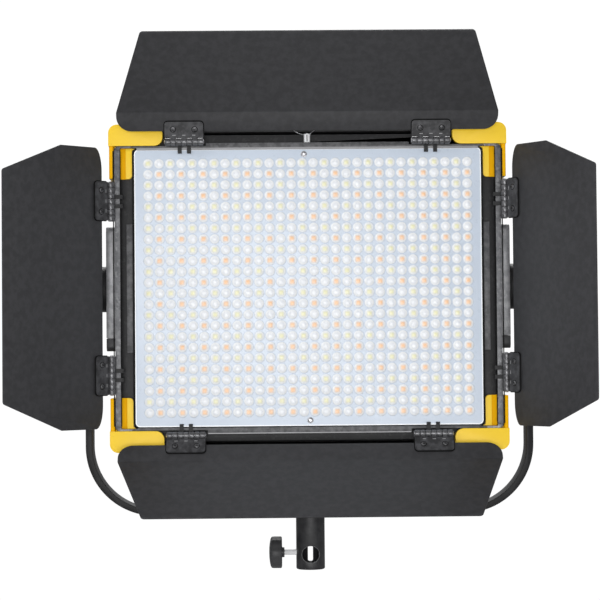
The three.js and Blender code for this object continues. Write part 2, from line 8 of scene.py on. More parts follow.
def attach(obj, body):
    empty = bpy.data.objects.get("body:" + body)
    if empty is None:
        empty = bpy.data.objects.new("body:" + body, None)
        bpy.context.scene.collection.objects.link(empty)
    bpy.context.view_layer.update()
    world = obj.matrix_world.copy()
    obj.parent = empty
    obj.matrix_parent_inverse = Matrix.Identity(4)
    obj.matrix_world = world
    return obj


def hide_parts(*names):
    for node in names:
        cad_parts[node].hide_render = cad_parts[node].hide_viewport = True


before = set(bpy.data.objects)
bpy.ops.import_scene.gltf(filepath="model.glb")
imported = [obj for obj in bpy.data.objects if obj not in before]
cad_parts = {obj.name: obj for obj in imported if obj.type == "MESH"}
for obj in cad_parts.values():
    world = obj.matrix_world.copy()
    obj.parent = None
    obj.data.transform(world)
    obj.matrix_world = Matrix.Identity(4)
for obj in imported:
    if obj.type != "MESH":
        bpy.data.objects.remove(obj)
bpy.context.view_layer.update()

# Millimetres throughout, in the panel's own frame: x right, y back from the front
# plane, z up from the tilt axis. ROW takes that to the row frame in metres.
PIVOT_Y, PIVOT_Z = 30.0, 265.0
ROW = Matrix.Scale(0.001, 4) @ Matrix.Translation((0.0, -PIVOT_Y, PIVOT_Z))
rad = math.radians


# ------------------------------------------------------------------ camera
def place_camera():
    cam = bpy.data.cameras.new("camera")
    ob = bpy.data.objects.new("camera", cam)
    bpy.context.scene.collection.objects.link(ob)
    dist, az, elev, roll = 2.02, rad(0.8), rad(-1.7), 0.5
    aim = ROW @ Vector((0.0, 0.0, 0.0))
    back = Vector((-math.sin(az) * math.cos(elev), -math.cos(az) * math.cos(elev), math.sin(elev)))
    ob.location = aim + back * dist
    ob.rotation_mode = "QUATERNION"
    q = (-back).to_track_quat("-Z", "Y")
    ob.rotation_quaternion = q @ Quaternion((0.0, 0.0, 1.0), rad(-roll))
    cam.sensor_width = 36.0
    cam.lens = 129.9
    cam.shift_x, cam.shift_y = -0.0145, -0.0218
    cam.clip_start, cam.clip_end = 0.05, 60.0
    bpy.context.scene.camera = ob


place_camera()


# ------------------------------------------------------------------ materials
def nodes_of(name):
    m = bpy.data.materials.new(name)
    m.use_nodes = True
    nt = m.node_tree
    nt.nodes.clear()
    out = nt.nodes.new("ShaderNodeOutputMaterial")
    bsdf = nt.nodes.new("ShaderNodeBsdfPrincipled")
    nt.links.new(bsdf.outputs["BSDF"], out.inputs["Surface"])
    tc = nt.nodes.new("ShaderNodeTexCoord")
    return m, nt, bsdf, tc.outputs["Object"]


def noise(nt, vec, scale, detail=3.0, rough=0.55):
    n = nt.nodes.new("ShaderNodeTexNoise")
    n.inputs["Scale"].default_value = scale
    n.inputs["Detail"].default_value = detail
    n.inputs["Roughness"].default_value = rough
    nt.links.new(vec, n.inputs["Vector"])
    return n.outputs["Fac"]


def ramp(nt, fac, a, b, lo, hi):
    r = nt.nodes.new("ShaderNodeMapRange")
    r.inputs["From Min"].default_value = lo
    r.inputs["From Max"].default_value = hi
    r.inputs["To Min"].default_value = a
    r.inputs["To Max"].default_value = b
    nt.links.new(fac, r.inputs["Value"])
    return r.outputs["Result"]


def mix(nt, fac, a, b):
    m = nt.nodes.new("ShaderNodeMix")
    m.data_type = "RGBA"
    for sock, v in ((m.inputs[6], a), (m.inputs[7], b)):
        if hasattr(v, "links") or hasattr(v, "is_linked"):
            nt.links.new(v, sock)
        else:
            sock.default_value = (*v, 1.0)
    if isinstance(fac, (int, float)):
        m.inputs[0].default_value = fac
    else:
        nt.links.new(fac, m.inputs[0])
    return m.outputs[2]


def math_node(nt, op, a, b=None, c=None):
    m = nt.nodes.new("ShaderNodeMath")
    m.operation = op
    for i, v in enumerate((a, b, c)):
        if v is None:
            continue
        if isinstance(v, (int, float)):
            m.inputs[i].default_value = v
        else:
            nt.links.new(v, m.inputs[i])
    return m.outputs[0]


def bump(nt, height, strength, distance, normal=None):
    b = nt.nodes.new("ShaderNodeBump")
    b.inputs["Strength"].default_value = strength
    b.inputs["Distance"].default_value = distance
    nt.links.new(height, b.inputs["Height"])
    if normal is not None:
        nt.links.new(normal, b.inputs["Normal"])
    return b.outputs["Normal"]


def surface(name, color, rough, metal=0.0, var=0.12, grain=900.0, grain_strength=0.25, grain_depth=0.00012,
            patch=9.0, rough_var=0.08, coat=0.0, coat_rough=0.2, spec=0.5, edge=None, fleck=0.0, ior=1.5):
    """A finish with a fine grain, slow colour drift, uneven gloss and, where edge is given, rubbed edges."""
    m, nt, b, vec = nodes_of(name)
    slow = noise(nt, vec, patch, 4.0, 0.6)
    fine = noise(nt, vec, grain, 2.0, 0.5)
    lo = tuple(c * (1 - var) for c in color)
    hi = tuple(min(1.0, c * (1 + var)) for c in color)
    col = mix(nt, ramp(nt, slow, 0.0, 1.0, 0.35, 0.65), lo, hi)
    if fleck:
        dots = noise(nt, vec, grain * 0.55, 1.0, 0.4)
        col = mix(nt, ramp(nt, dots, 0.0, 1.0, 0.56, 0.72), col, tuple(min(1.0, c + fleck) for c in color))
    if edge:
        geo = nt.nodes.new("ShaderNodeNewGeometry")
        worn = ramp(nt, geo.outputs["Pointiness"], 0.0, 1.0, 0.515, 0.58)
        patchy = ramp(nt, noise(nt, vec, 160.0, 3.0, 0.6), 0.25, 1.0, 0.4, 0.62)
        col = mix(nt, math_node(nt, "MULTIPLY", worn, patchy), col, edge)
    nt.links.new(col, b.inputs["Base Color"])
    r = ramp(nt, noise(nt, vec, patch * 5, 3.0, 0.6), rough - rough_var, rough + rough_var, 0.3, 0.7)
    nt.links.new(r, b.inputs["Roughness"])
    b.inputs["Metallic"].default_value = metal
    b.inputs["Specular IOR Level"].default_value = spec
    b.inputs["IOR"].default_value = ior
    b.inputs["Coat Weight"].default_value = coat
    b.inputs["Coat Roughness"].default_value = coat_rough
    if grain_strength:
        nt.links.new(bump(nt, fine, grain_strength, grain_depth), b.inputs["Normal"])
    return m


MAT = {
    "door": surface("door_coat", (0.030, 0.030, 0.0325), 0.50, 0.0, 0.02, 1500, 0.20, 0.00007, 7, 0.010, edge=(0.075, 0.075, 0.08), spec=0.42),
    "plate": surface("hinge_plate_coat", (0.015, 0.015, 0.016), 0.40, 0.0, 0.04, 1500, 0.22, 0.00008, 12, 0.03, edge=(0.07, 0.07, 0.075), spec=0.4),
    "hinge": surface("hinge_metal", (0.085, 0.085, 0.089), 0.30, 0.5, 0.05, 1400, 0.12, 0.00005, 30, 0.05, edge=(0.24, 0.24, 0.25)),
    "case": surface("case_coat", (0.016, 0.016, 0.017), 0.58, 0.0, 0.06, 700, 0.75, 0.00030, 9, 0.04, fleck=0.015),
    "bezel": surface("bezel_coat", (0.034, 0.034, 0.037), 0.50, 0.0, 0.14, 560, 0.60, 0.00025, 9, 0.05, fleck=0.06, edge=(0.12, 0.12, 0.125)),
    "rail": surface("rail_coat", (0.060, 0.061, 0.066), 0.44, 0.3, 0.10, 560, 0.80, 0.00030, 14, 0.05, fleck=0.09, edge=(0.26, 0.26, 0.27)),
    "block": surface("block_satin", (0.165, 0.166, 0.175), 0.40, 0.3, 0.04, 1300, 0.10, 0.00005, 10, 0.03, edge=(0.40, 0.40, 0.41)),
    "yoke": surface("yoke_coat", (0.0045, 0.0045, 0.005), 0.48, 0.0, 0.03, 1100, 0.25, 0.00008, 8, 0.02, edge=(0.03, 0.03, 0.032), spec=0.24),
    "knob": surface("knob_plastic", (0.047, 0.047, 0.049), 0.50, 0.0, 0.03, 1300, 0.30, 0.00012, 15, 0.03, edge=(0.05, 0.05, 0.052), spec=0.4),
    "dark": surface("dark_plastic", (0.018, 0.018, 0.019), 0.45, 0.0, 0.08, 1500, 0.25, 0.00008, 15, 0.05),
    "bore": surface("dark_bore", (0.020, 0.020, 0.022), 0.34, 0.2, 0.08, 1300, 0.12, 0.00005, 40, 0.05),
    # painted shade: a darker copy of the bezel coat for the set-back faces on the sides and bottom, which lie in shadow
    "bezel_painted_shade": surface("bezel_recess_painted_shade", (0.013, 0.013, 0.014), 0.55, 0.0, 0.10, 700, 0.60, 0.00025, 9, 0.04, fleck=0.012, spec=0.4),
    "tab": surface("tab_steel", (0.009, 0.009, 0.010), 0.46, 0.0, 0.05, 1400, 0.12, 0.00005, 30, 0.05, spec=0.25),
    # painted shade: a deeper orange copy of the bumper yellow for faces that lie in shade
    "yellow_painted_shade": surface("bumper_painted_shade", (0.97, 0.50, 0.002), 0.50, 0.0, 0.015, 1200, 0.18, 0.00008, 9, 0.03, spec=0.06),
    # painted highlight: a light grey for thin lines where light catches an edge
    "painted_highlight_strip": surface("painted_highlight_edge", (0.215, 0.215, 0.222), 0.40, 0.2, 0.10, 900, 0.2, 0.00008, 14, 0.05),
    # painted light: a lighter copy of the bezel coat for the set-back bar on top, where light falls
    "bezel_top_painted_light": surface("bezel_top_bar_painted_light", (0.066, 0.066, 0.069), 0.52, 0.0, 0.20, 520, 0.70, 0.00028, 16, 0.05, fleck=0.05, spec=0.4),
    "socket": surface("socket_coat", (0.018, 0.018, 0.020), 0.44, 0.0, 0.03, 1100, 0.25, 0.00008, 8, 0.02, edge=(0.05, 0.05, 0.052), spec=0.36),
    # painted reflection: the nickel and chrome pins get a near-white non-metal colour that stands for their bright
    # reflections
    "pin": surface("pin_white_painted_shine", (0.93, 0.935, 0.945), 0.30, 0.0, 0.03, 1800, 0.03, 0.00002, 40, 0.03),
    "gap": surface("gap_shadow", (0.006, 0.006, 0.006), 0.8, 0.0, 0.05, 1300, 0.1, 0.00005, 40, 0.05, spec=0.2),
    "yellow": surface("bumper_yellow", (0.98, 0.65, 0.028), 0.42, 0.0, 0.012, 1200, 0.18, 0.00008, 9, 0.03, spec=0.30),
    "chrome": surface("chrome_steel", (0.90, 0.91, 0.93), 0.12, 1.0, 0.03, 1800, 0.03, 0.00002, 40, 0.03),
    "steel": surface("screw_steel", (0.42, 0.42, 0.44), 0.30, 1.0, 0.08, 1500, 0.10, 0.00004, 60, 0.06, edge=(0.7, 0.7, 0.72)),
    "screwblack": surface("screw_black", (0.035, 0.035, 0.037), 0.26, 0.5, 0.08, 1500, 0.08, 0.00004, 60, 0.05, edge=(0.30, 0.30, 0.31)),
    "slot": surface("slot_light", (0.34, 0.34, 0.345), 0.35, 0.2, 0.05, 1300, 0.1, 0.00004, 60, 0.05),
    "bright": surface("bright_bore", (0.70, 0.71, 0.73), 0.26, 1.0, 0.08, 1300, 0.12, 0.00005, 40, 0.06),
    "alu": surface("sink_aluminium", (0.55, 0.56, 0.58), 0.36, 1.0, 0.06, 900, 0.15, 0.00006, 20, 0.08),
    "lens": surface("lens_border", (0.62, 0.695, 0.80), 0.30, 0.0, 0.025, 900, 0.08, 0.00005, 30, 0.04, coat=0.2),
    "trim": surface("plate_edge", (0.90, 0.93, 0.96), 0.25, 0.0, 0.01, 900, 0.05, 0.00004, 12, 0.03, coat=0.3),
    "board": surface("solder_mask", (0.82, 0.82, 0.80), 0.5, 0.0, 0.03),
    "pcb": surface("circuit_green", (0.010, 0.055, 0.028), 0.42, 0.0, 0.25, 260, 0.4, 0.0002, 60, 0.1, coat=0.3),
    "window": surface("display_window", (0.010, 0.012, 0.016), 0.10, 0.0, 0.05, 1200, 0.0, 0.0, 20, 0.03, coat=0.6, coat_rough=0.05),
    "rubber": surface("button_rubber", (0.040, 0.040, 0.042), 0.62, 0.0, 0.08, 1300, 0.35, 0.0001, 15, 0.05),
    "mark": surface("print_white", (0.75, 0.75, 0.75), 0.5, 0.0, 0.03),
    # the lower end of the pivot block is darker
    "block_dark_lower_end": surface("block_end", (0.045, 0.045, 0.048), 0.5, 0.1, 0.08, 1200, 0.3, 0.0001, 15, 0.05),
}

COLS, ROWS, PX, PZ = 30, 24, 10.28, 10.10
X0 = -PX * (COLS - 1) / 2
Z0 = PZ * (ROWS - 1) / 2


def dome_material():
    """Clear domes over the diodes: white ones, cool and warm ones by column and row."""
    m, nt, b, vec = nodes_of("lens_domes")
    sep = nt.nodes.new("ShaderNodeSeparateXYZ")
    nt.links.new(vec, sep.inputs[0])
    x = math_node(nt, "MULTIPLY_ADD", sep.outputs["X"], 1000.0 / PX, -X0 / PX)
    z = math_node(nt, "MULTIPLY_ADD", sep.outputs["Z"], -1000.0 / PZ, (Z0 + PIVOT_Z) / PZ)
    cx, cz = math_node(nt, "ROUND", x), math_node(nt, "ROUND", z)
    fx = math_node(nt, "MULTIPLY", math_node(nt, "SUBTRACT", x, cx), PX)
    fz = math_node(nt, "MULTIPLY", math_node(nt, "SUBTRACT", z, cz), PZ)
    d = math_node(nt, "SQRT", math_node(nt, "ADD", math_node(nt, "MULTIPLY", fx, fx), math_node(nt, "MULTIPLY", fz, fz)))
    sq = math_node(nt, "MAXIMUM", math_node(nt, "ABSOLUTE", fx), math_node(nt, "ABSOLUTE", fz))
    chip_d = math_node(nt, "ADD", math_node(nt, "MULTIPLY", d, 0.35), math_node(nt, "MULTIPLY", sq, 0.65))
    odd = math_node(nt, "MODULO", math_node(nt, "ADD", math_node(nt, "ADD", cx, cz), 0.5), 2.0)
    has_chip = math_node(nt, "LESS_THAN", odd, 1.0)
    warm = math_node(nt, "GREATER_THAN", math_node(nt, "MODULO", math_node(nt, "ADD", cz, 0.5), 2.0), 1.0)
    frost = ramp(nt, noise(nt, vec, 520.0, 3.0, 0.6), 0.0, 1.0, 0.34, 0.66)
    heart = mix(nt, frost, (0.80, 0.83, 0.875), (0.96, 0.975, 1.0))
    # painted light and shade on the domes: a brighter band round each frosted centre is painted highlight; the darker
    # blue-grey towards each dome's foot and the darker ring there are painted shade
    lit = mix(nt, ramp(nt, d, 0.0, 1.0, 2.4, 3.7), heart, (0.975, 0.99, 1.0))
    white = mix(nt, ramp(nt, d, 0.0, 1.0, 4.0, 4.9), lit, (0.66, 0.735, 0.83))
    ring = math_node(nt, "MULTIPLY", ramp(nt, d, 0.0, 1.0, 3.9, 4.5), ramp(nt, d, 1.0, 0.0, 4.6, 4.9))
    core = mix(nt, math_node(nt, "MULTIPLY", ring, 0.20), white, (0.60, 0.66, 0.74))
    blot = ramp(nt, noise(nt, vec, 700.0, 2.0, 0.6), 0.75, 1.0, 0.35, 0.6)
    chip = mix(nt, warm, (0.86, 0.83, 0.46), (1.0, 0.55, 0.24))
    soft = nt.nodes.new("ShaderNodeMapRange")
    soft.interpolation_type = "SMOOTHSTEP"
    soft.inputs["From Min"].default_value = 0.7
    soft.inputs["From Max"].default_value = 3.5
    soft.inputs["To Min"].default_value = 0.92
    soft.inputs["To Max"].default_value = 0.0
    nt.links.new(chip_d, soft.inputs["Value"])
    mask = math_node(nt, "MULTIPLY", math_node(nt, "MULTIPLY", soft.outputs["Result"], blot), has_chip)
    col = mix(nt, mask, core, chip)
    nt.links.new(col, b.inputs["Base Color"])
    b.inputs["Roughness"].default_value = 0.30
    b.inputs["Coat Weight"].default_value = 0.25
    b.inputs["Coat Roughness"].default_value = 0.10
    wav = noise(nt, vec, 420.0, 2.0, 0.5)
    nt.links.new(bump(nt, wav, 0.12, 0.0001), b.inputs["Normal"])
    return m


MAT["domes"] = dome_material()


# ------------------------------------------------------------------ geometry
class Shape:
    def __init__(self):
        self.v, self.f, self.m = [], [], []

    def add(self, vs, fs, mi=0, at=None):
        o = len(self.v)
        self.v += [tuple(at @ Vector(v)) if at is not None else tuple(v) for v in vs]
        self.f += [tuple(i + o for i in f) for f in fs]
        self.m += [mi] * len(fs)
        return self

    def join(self, other, at=None, shift=0):
        o = len(self.v)
        self.v += [tuple(at @ Vector(v)) if at is not None else v for v in other.v]
        self.f += [tuple(i + o for i in f) for f in other.f]
        self.m += [i + shift for i in other.m]
        return self


def poly(corners, steps=8):
    """A polygon from corners (u, w, radius)."""
    out, n = [], len(corners)
    for i, (x, y, *rest) in enumerate(corners):
        r = rest[0] if rest else 0.0
        c = Vector((x, y))
        if not r:
            out.append((x, y))
            continue
        p = (Vector(corners[i - 1][:2]) - c).normalized()
        q = (Vector(corners[(i + 1) % n][:2]) - c).normalized()
        half = math.acos(max(-1.0, min(1.0, p.dot(q)))) / 2
        a, b = c + p * (r / math.tan(half)), c + q * (r / math.tan(half))
        mid = c + (p + q).normalized() * (r / math.sin(half))
        t0 = math.atan2(a.y - mid.y, a.x - mid.x)
        t1 = math.atan2(b.y - mid.y, b.x - mid.x)
        while t1 - t0 > math.pi:
            t1 -= 2 * math.pi
        while t1 - t0 < -math.pi:
            t1 += 2 * math.pi
        for k in range(steps + 1):
            t = t0 + (t1 - t0) * k / steps
            out.append((mid.x + r * math.cos(t), mid.y + r * math.sin(t)))
    return out


def box_poly(x0, x1, y0, y1, r=0.0, steps=8):
    return poly([(x0, y0, r), (x1, y0, r), (x1, y1, r), (x0, y1, r)], steps)


def prism(pts, a, b, ax="y"):
    n = len(pts)
    place = {"y": lambda u, w, t: (u, t, w), "x": lambda u, w, t: (t, u, w), "z": lambda u, w, t: (u, w, t)}[ax]
    vs = [place(u, w, a) for u, w in pts] + [place(u, w, b) for u, w in pts]
    fs = [tuple(range(n)), tuple(range(2 * n - 1, n - 1, -1))]
    fs += [(i, (i + 1) % n, n + (i + 1) % n, n + i) for i in range(n)]
    return vs, fs


def block(x0, x1, y0, y1, z0, z1):
    return prism([(x0, z0), (x1, z0), (x1, z1), (x0, z1)], y0, y1)


def lathe(profile, ax="y", at=(0.0, 0.0, 0.0), n=48, wave=None):
    """Turns (radius, height) points; a point on the axis closes an end. wave(angle, index) scales a ring."""
    vs, fs, rings = [], [], []
    for i, (r, h) in enumerate(profile):
        ring = []
        if r < 1e-6:
            ring = [len(vs)]
            vs.append((0.0, 0.0, h))
        else:
            for k in range(n):
                t = 2 * math.pi * k / n
                s = wave(t, i) if wave else 1.0
                ring.append(len(vs))
                vs.append((r * s * math.cos(t), r * s * math.sin(t), h))
        rings.append(ring)
    for a, b in zip(rings, rings[1:]):
        if len(a) == 1 and len(b) == 1:
            continue
        for k in range(n):
            k2 = (k + 1) % n
            if len(a) == 1:
                fs.append((a[0], b[k2], b[k]))
            elif len(b) == 1:
                fs.append((a[k], a[k2], b[0]))
            else:
                fs.append((a[k], a[k2], b[k2], b[k]))
    if len(rings[0]) > 1 and len(rings[-1]) > 1:
        fs += [tuple(rings[0][::-1]), tuple(rings[-1])]
    turn = {"z": lambda p: p, "y": lambda p: (p[1], p[2], p[0]), "x": lambda p: (p[2], p[0], p[1])}[ax]
    return [tuple(c + o for c, o in zip(turn(v), at)) for v in vs], fs


def to_mesh(name, shape, at=None):
    me = bpy.data.meshes.new(name)
    m = ROW @ at if at is not None else ROW
    me.from_pydata([m @ Vector(v) for v in shape.v], [], shape.f)
    for p, i in zip(me.polygons, shape.m):
        p.material_index = i
    bm = bmesh.new()
    bm.from_mesh(me)
    bmesh.ops.remove_doubles(bm, verts=bm.verts, dist=2e-7)
    bmesh.ops.recalc_face_normals(bm, faces=bm.faces)
    bm.to_mesh(me)
    bm.free()
    return me


def evaluated(ob):
    dg = bpy.context.evaluated_depsgraph_get()
    me = bpy.data.meshes.new_from_object(ob.evaluated_get(dg))
    old = ob.data
    ob.modifiers.clear()
    ob.data = me
    if old.users == 0:
        bpy.data.meshes.remove(old)
    return ob


def finish(ob, mats, body, replaces=(), smooth=40.0):
    if mats:
        ob.data.materials.clear()
        for k in mats:
            ob.data.materials.append(MAT[k])
    ob.data.shade_smooth()
    if hasattr(ob.data, "set_sharp_from_angle"):
        ob.data.set_sharp_from_angle(angle=rad(smooth))
    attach(ob, body)
    if replaces:
        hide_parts(*([replaces] if isinstance(replaces, str) else replaces))
    return ob


def make(name, shape, mats, body, replaces=(), at=None, bevel=0.0, seg=2, limit=40.0, ops=(), smooth=40.0):
    """A piece from a Shape; ops is a list of (UNION or DIFFERENCE or INTERSECT, Shape)."""
    ob = bpy.data.objects.new(name, to_mesh(name, shape, at))
    bpy.context.scene.collection.objects.link(ob)
    for k in mats:
        ob.data.materials.append(MAT[k])
    helpers = []
    for kind, other in ops:
        h = bpy.data.objects.new("helper", to_mesh("helper", other, at))
        for k in mats:
            h.data.materials.append(MAT[k])
        bpy.context.scene.collection.objects.link(h)
        helpers.append(h)
        mod = ob.modifiers.new("cut", "BOOLEAN")
        mod.operation, mod.solver, mod.object = kind, "EXACT", h
    if ops:
        bpy.context.view_layer.update()
        evaluated(ob)
        for h in helpers:
            d = h.data
            bpy.data.objects.remove(h)
            bpy.data.meshes.remove(d)
        tidy(ob.data)
    if bevel:
        mod = ob.modifiers.new("edge", "BEVEL")
        mod.width, mod.segments = bevel * 0.001, seg
        mod.limit_method, mod.angle_limit = "ANGLE", rad(limit)
        mod.use_clamp_overlap = True
        bpy.context.view_layer.update()
        evaluated(ob)
    return finish(ob, None, body, replaces, smooth)


def tidy(me, angle=0.6):
    bm = bmesh.new()
    bm.from_mesh(me)
    bmesh.ops.remove_doubles(bm, verts=bm.verts, dist=1e-6)
    bmesh.ops.dissolve_limit(bm, angle_limit=rad(angle), verts=bm.verts, edges=bm.edges, delimit={"MATERIAL"})
    bmesh.ops.recalc_face_normals(bm, faces=bm.faces)
    bm.to_mesh(me)
    bm.free()


def refine(node, mats, body, bevel=0.4, seg=2, limit=40.0, smooth=40.0, name=None):
    """A piece from a CAD node's own shape, with its edges eased."""
    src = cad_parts[node]
    me = src.data.copy()
    ob = bpy.data.objects.new(name or node + "_fine", me)
    bpy.context.scene.collection.objects.link(ob)
    me.materials.clear()
    for k in mats:
        me.materials.append(MAT[k])
    for p in me.polygons:
        p.material_index = 0
    tidy(me, 1.0)
    mod = ob.modifiers.new("edge", "BEVEL")
    mod.width, mod.segments = bevel * 0.001, seg
    mod.limit_method, mod.angle_limit = "ANGLE", rad(limit)
    mod.use_clamp_overlap = True
    bpy.context.view_layer.update()
    evaluated(ob)
    return finish(ob, None, body, node, smooth)


def S(*pairs):
    s = Shape()
    for p in pairs:
        s.add(*p)
    return s


# A crosshead screw, its head's underside on z = 0 and its axis +Z, radius 1.
def screw_shape():
    head = S(lathe([(0, -0.2), (0.9, -0.2), (0.98, -0.05), (1.0, 0.06), (0.97, 0.2), (0.86, 0.34), (0.62, 0.45), (0.3, 0.5), (0, 0.51)], "z", n=32))
    cross = S(block(-0.62, 0.62, -0.14, 0.14, 0.16, 1.0))
    cross2 = S(block(-0.14, 0.14, -0.62, 0.62, 0.16, 1.0))
    ob = bpy.data.objects.new("screw_maker", to_mesh("screw_maker", head))
    bpy.context.scene.collection.objects.link(ob)
    hs = []
    for c in (cross, cross2):
        h = bpy.data.objects.new("helper", to_mesh("helper", c))
        bpy.context.scene.collection.objects.link(h)
        mod = ob.modifiers.new("cut", "BOOLEAN")
        mod.operation, mod.solver, mod.object = "DIFFERENCE", "EXACT", h
        hs.append(h)
    bpy.context.view_layer.update()
    evaluated(ob)
    back = ROW.inverted()
    s = Shape()
    s.add([back @ v.co for v in ob.data.vertices], [tuple(p.vertices) for p in ob.data.polygons])
    for h in hs + [ob]:
        d = h.data
        bpy.data.objects.remove(h)
        bpy.data.meshes.remove(d)
    return s


SCREW = screw_shape()


def screw(shape, pos, normal, r, turn=0.0, mi=0, h=1.0):
    z = Vector(normal).normalized()
    m = Matrix.Translation(pos) @ z.to_track_quat("Z", "Y").to_matrix().to_4x4() @ Matrix.Rotation(turn, 4, "Z")
    m = m @ Matrix.Diagonal((r, r, r * h, 1.0))
    shape.join(SCREW, m, mi)


def wire(name, pts, r, body, mat, n=10):
    """A thin round wire through the given points."""
    s = Shape()
    pts = [Vector(p) for p in pts]
    side = None
    for i, p in enumerate(pts):
        d = (pts[min(i + 1, len(pts) - 1)] - pts[max(i - 1, 0)]).normalized()
        if side is None:
            side = d.cross(Vector((0, 1, 0))).normalized()
        side = (side - d * side.dot(d)).normalized()
        up = d.cross(side)
        for k in range(n):
            t = 2 * math.pi * k / n
            s.v.append(tuple(p + side * (r * math.cos(t)) + up * (r * math.sin(t))))
    for i in range(len(pts) - 1):
        for k in range(n):
            s.f.append((i * n + k, i * n + (k + 1) % n, (i + 1) * n + (k + 1) % n, (i + 1) * n + k))
    s.f += [tuple(range(n)), tuple((len(pts) - 1) * n + k for k in range(n))]
    s.m = [0] * len(s.f)
    return make(name, s, [mat], body, (), smooth=60)


# ------------------------------------------------------------------ yoke, socket, clamp
PY = PIVOT_Y
yoke = S(prism(poly([(-210, 15), (-210, -212.8, 65), (210, -212.8, 65), (210, 15), (204, 15), (204, -206.8, 59), (-204, -206.8, 59), (-204, 15)], 28), PY - 15, PY + 15))
ends = S(prism(poly([(PY - 15.5, -219), (PY + 15.5, -219), (PY + 15.5, 15.0, 15.4), (PY - 15.5, 15.0, 15.4)], 20), -215, 215, "x"))
hole1 = S(lathe([(0, -215), (4.6, -215), (4.6, 215), (0, 215)], "x", (0, PY, 0), 40))
hole2 = S(lathe([(0, -215), (4.6, -215), (4.6, -204), (0, -204)], "z", (0, PY, 0), 40))
make("yoke", yoke, ["yoke"], "stand", "yoke_bracket", bevel=0.9, seg=3,
     ops=[("INTERSECT", ends), ("DIFFERENCE", hole1), ("DIFFERENCE", hole2)])

tube = S(lathe([(0, -265), (12.2, -265), (13.1, -264.6), (13.5, -263.9), (13.5, -213.5), (13.1, -213.1), (0, -213.1)], "z", (0, PY, 0), 96))
bore = S(lathe([(0, -266), (9.1, -266), (9.0, -265.05), (8.0, -263.9), (8.0, -224), (7.2, -223.4), (0, -223.4)], "z", (0, PY, 0), 72))
bolt_hole = S(lathe([(0, -225), (4.6, -225), (4.6, -212), (0, -212)], "z", (0, PY, 0), 32))
cross = S(lathe([(0, -16), (8.0, -16), (8.0, 2), (0, 2)], "y", (0, PY, -250.7), 72))
slot_cut = S(prism(poly([(-2.4, -258.7, 1.6), (2.4, -258.7, 1.6), (2.4, -242.7, 1.6), (-2.4, -242.7, 1.6)], 5), PY, PY + 20))
tap = S(lathe([(0, -16), (3.6, -16), (3.3, -12.8), (3.3, -5), (0, -5)], "x", (0, PY, -249.2), 32))
for s in (bore, cross, slot_cut, tap):
    s.m = [1] * len(s.f)
make("socket", tube, ["socket", "bore"], "stand", "stand_socket",
     ops=[("DIFFERENCE", bore), ("DIFFERENCE", bolt_hole), ("DIFFERENCE", cross), ("DIFFERENCE", slot_cut), ("DIFFERENCE", tap)], bevel=0.22, seg=2, limit=50, smooth=32)

# painted highlight: a thin light ring round the front edge of the cross hole
bore_ring = []
for i in range(49):
    t = 2 * math.pi * i / 48
    u = 8.35 * math.cos(t)
    bore_ring.append((u, PY - math.sqrt(13.5 ** 2 - u * u) + 0.02, -250.7 + 8.35 * math.sin(t)))
wire("socket_bore_highlight_ring", bore_ring, 0.2, "stand", "painted_highlight_strip", 6)

bolt = Shape()
bolt.add(*lathe([(0, -225.3), (3.6, -225.3), (4.2, -224.6), (4.2, -206.4), (0, -206.4)], "z", (0, PY, 0), 32))
bolt.add(*lathe([(0, -206.7), (8.4, -206.7), (8.6, -206.4), (8.6, -205.5), (8.4, -205.3), (0, -205.3)], "z", (0, PY, 0), 40))
hexa = S(lathe([(0, -205.5), (6.6, -205.5), (7.0, -205.1), (7.0, -202.0), (6.2, -201.3), (0, -201.3)], "z", (0, PY, 0), 6))
bolt.join(hexa)
make("socket_bolt_fine", bolt, ["steel"], "stand", "socket_bolt", smooth=30)


def lobed_knob(name, mats, body, node, rings, lobes, depth, at, flip, extra=None, bevel=0.0):
    """A hand knob turned about X: rings are (x, radius, how deep the flutes are)."""
    n = lobes * 16
    def wave_of(i, t):
        x, r, k = rings[i]
        f = (0.5 - 0.5 * math.cos(lobes * t)) ** 1.6
        return 1.0 - depth * k * f / max(r, 1e-6)
    vs, fs = lathe([(r, x) for x, r, _ in rings], "x", (0, 0, 0), n, wave=lambda t, i: wave_of(i, t))
    s = Shape().add(vs, fs)
    if extra:
        s.join(extra)
    m = Matrix.Translation(at) @ (Matrix.Rotation(math.pi, 4, "Z") if flip else Matrix.Identity(4))
    return make(name, s, mats, body, node, at=m, smooth=50)


ck = Shape()
ck.add(*lathe([(2.9, -27.2), (4.4, -27.2), (4.75, -26.9), (4.75, -25.0), (4.5, -24.6), (2.9, -24.6)], "x", (0, 0, 0), 40))
lobed_knob("clamp_knob_fine", ["knob"], "clamp", "clamp_knob",
           [(-26.8, 0, 0), (-26.8, 8, 0), (-26.85, 12.6, 0.5), (-27.1, 14.2, 0.9), (-27.9, 14.9, 1), (-33.6, 14.9, 1), (-35.8, 14.8, 1), (-36.8, 14.3, 0.95),
            (-37.7, 12.6, 0.6), (-38.4, 9.2, 0.15), (-38.9, 4.6, 0), (-39.0, 0, 0)], 8, 0.5, (0, PY, -249.2), False, ck)
thread = [(0, -33.7), (2.2, -33.7), (2.5, -33.4), (2.5, -14.2), (2.9, -13.9)]
x = -13.7
while x < -10.4:
    thread += [(2.9, x), (2.55, x + 0.4), (2.55, x + 0.55), (2.9, x + 0.95)]
    x += 1.0
thread += [(2.9, -9.3), (2.2, -8.4), (0, -8.4)]
# painted reflection: the chrome clamp screw uses the near-white pin colour
make("clamp_screw_fine", S(lathe(thread, "x", (0, PY, -249.2), 40)), ["pin"], "clamp", "clamp_screw", smooth=60)

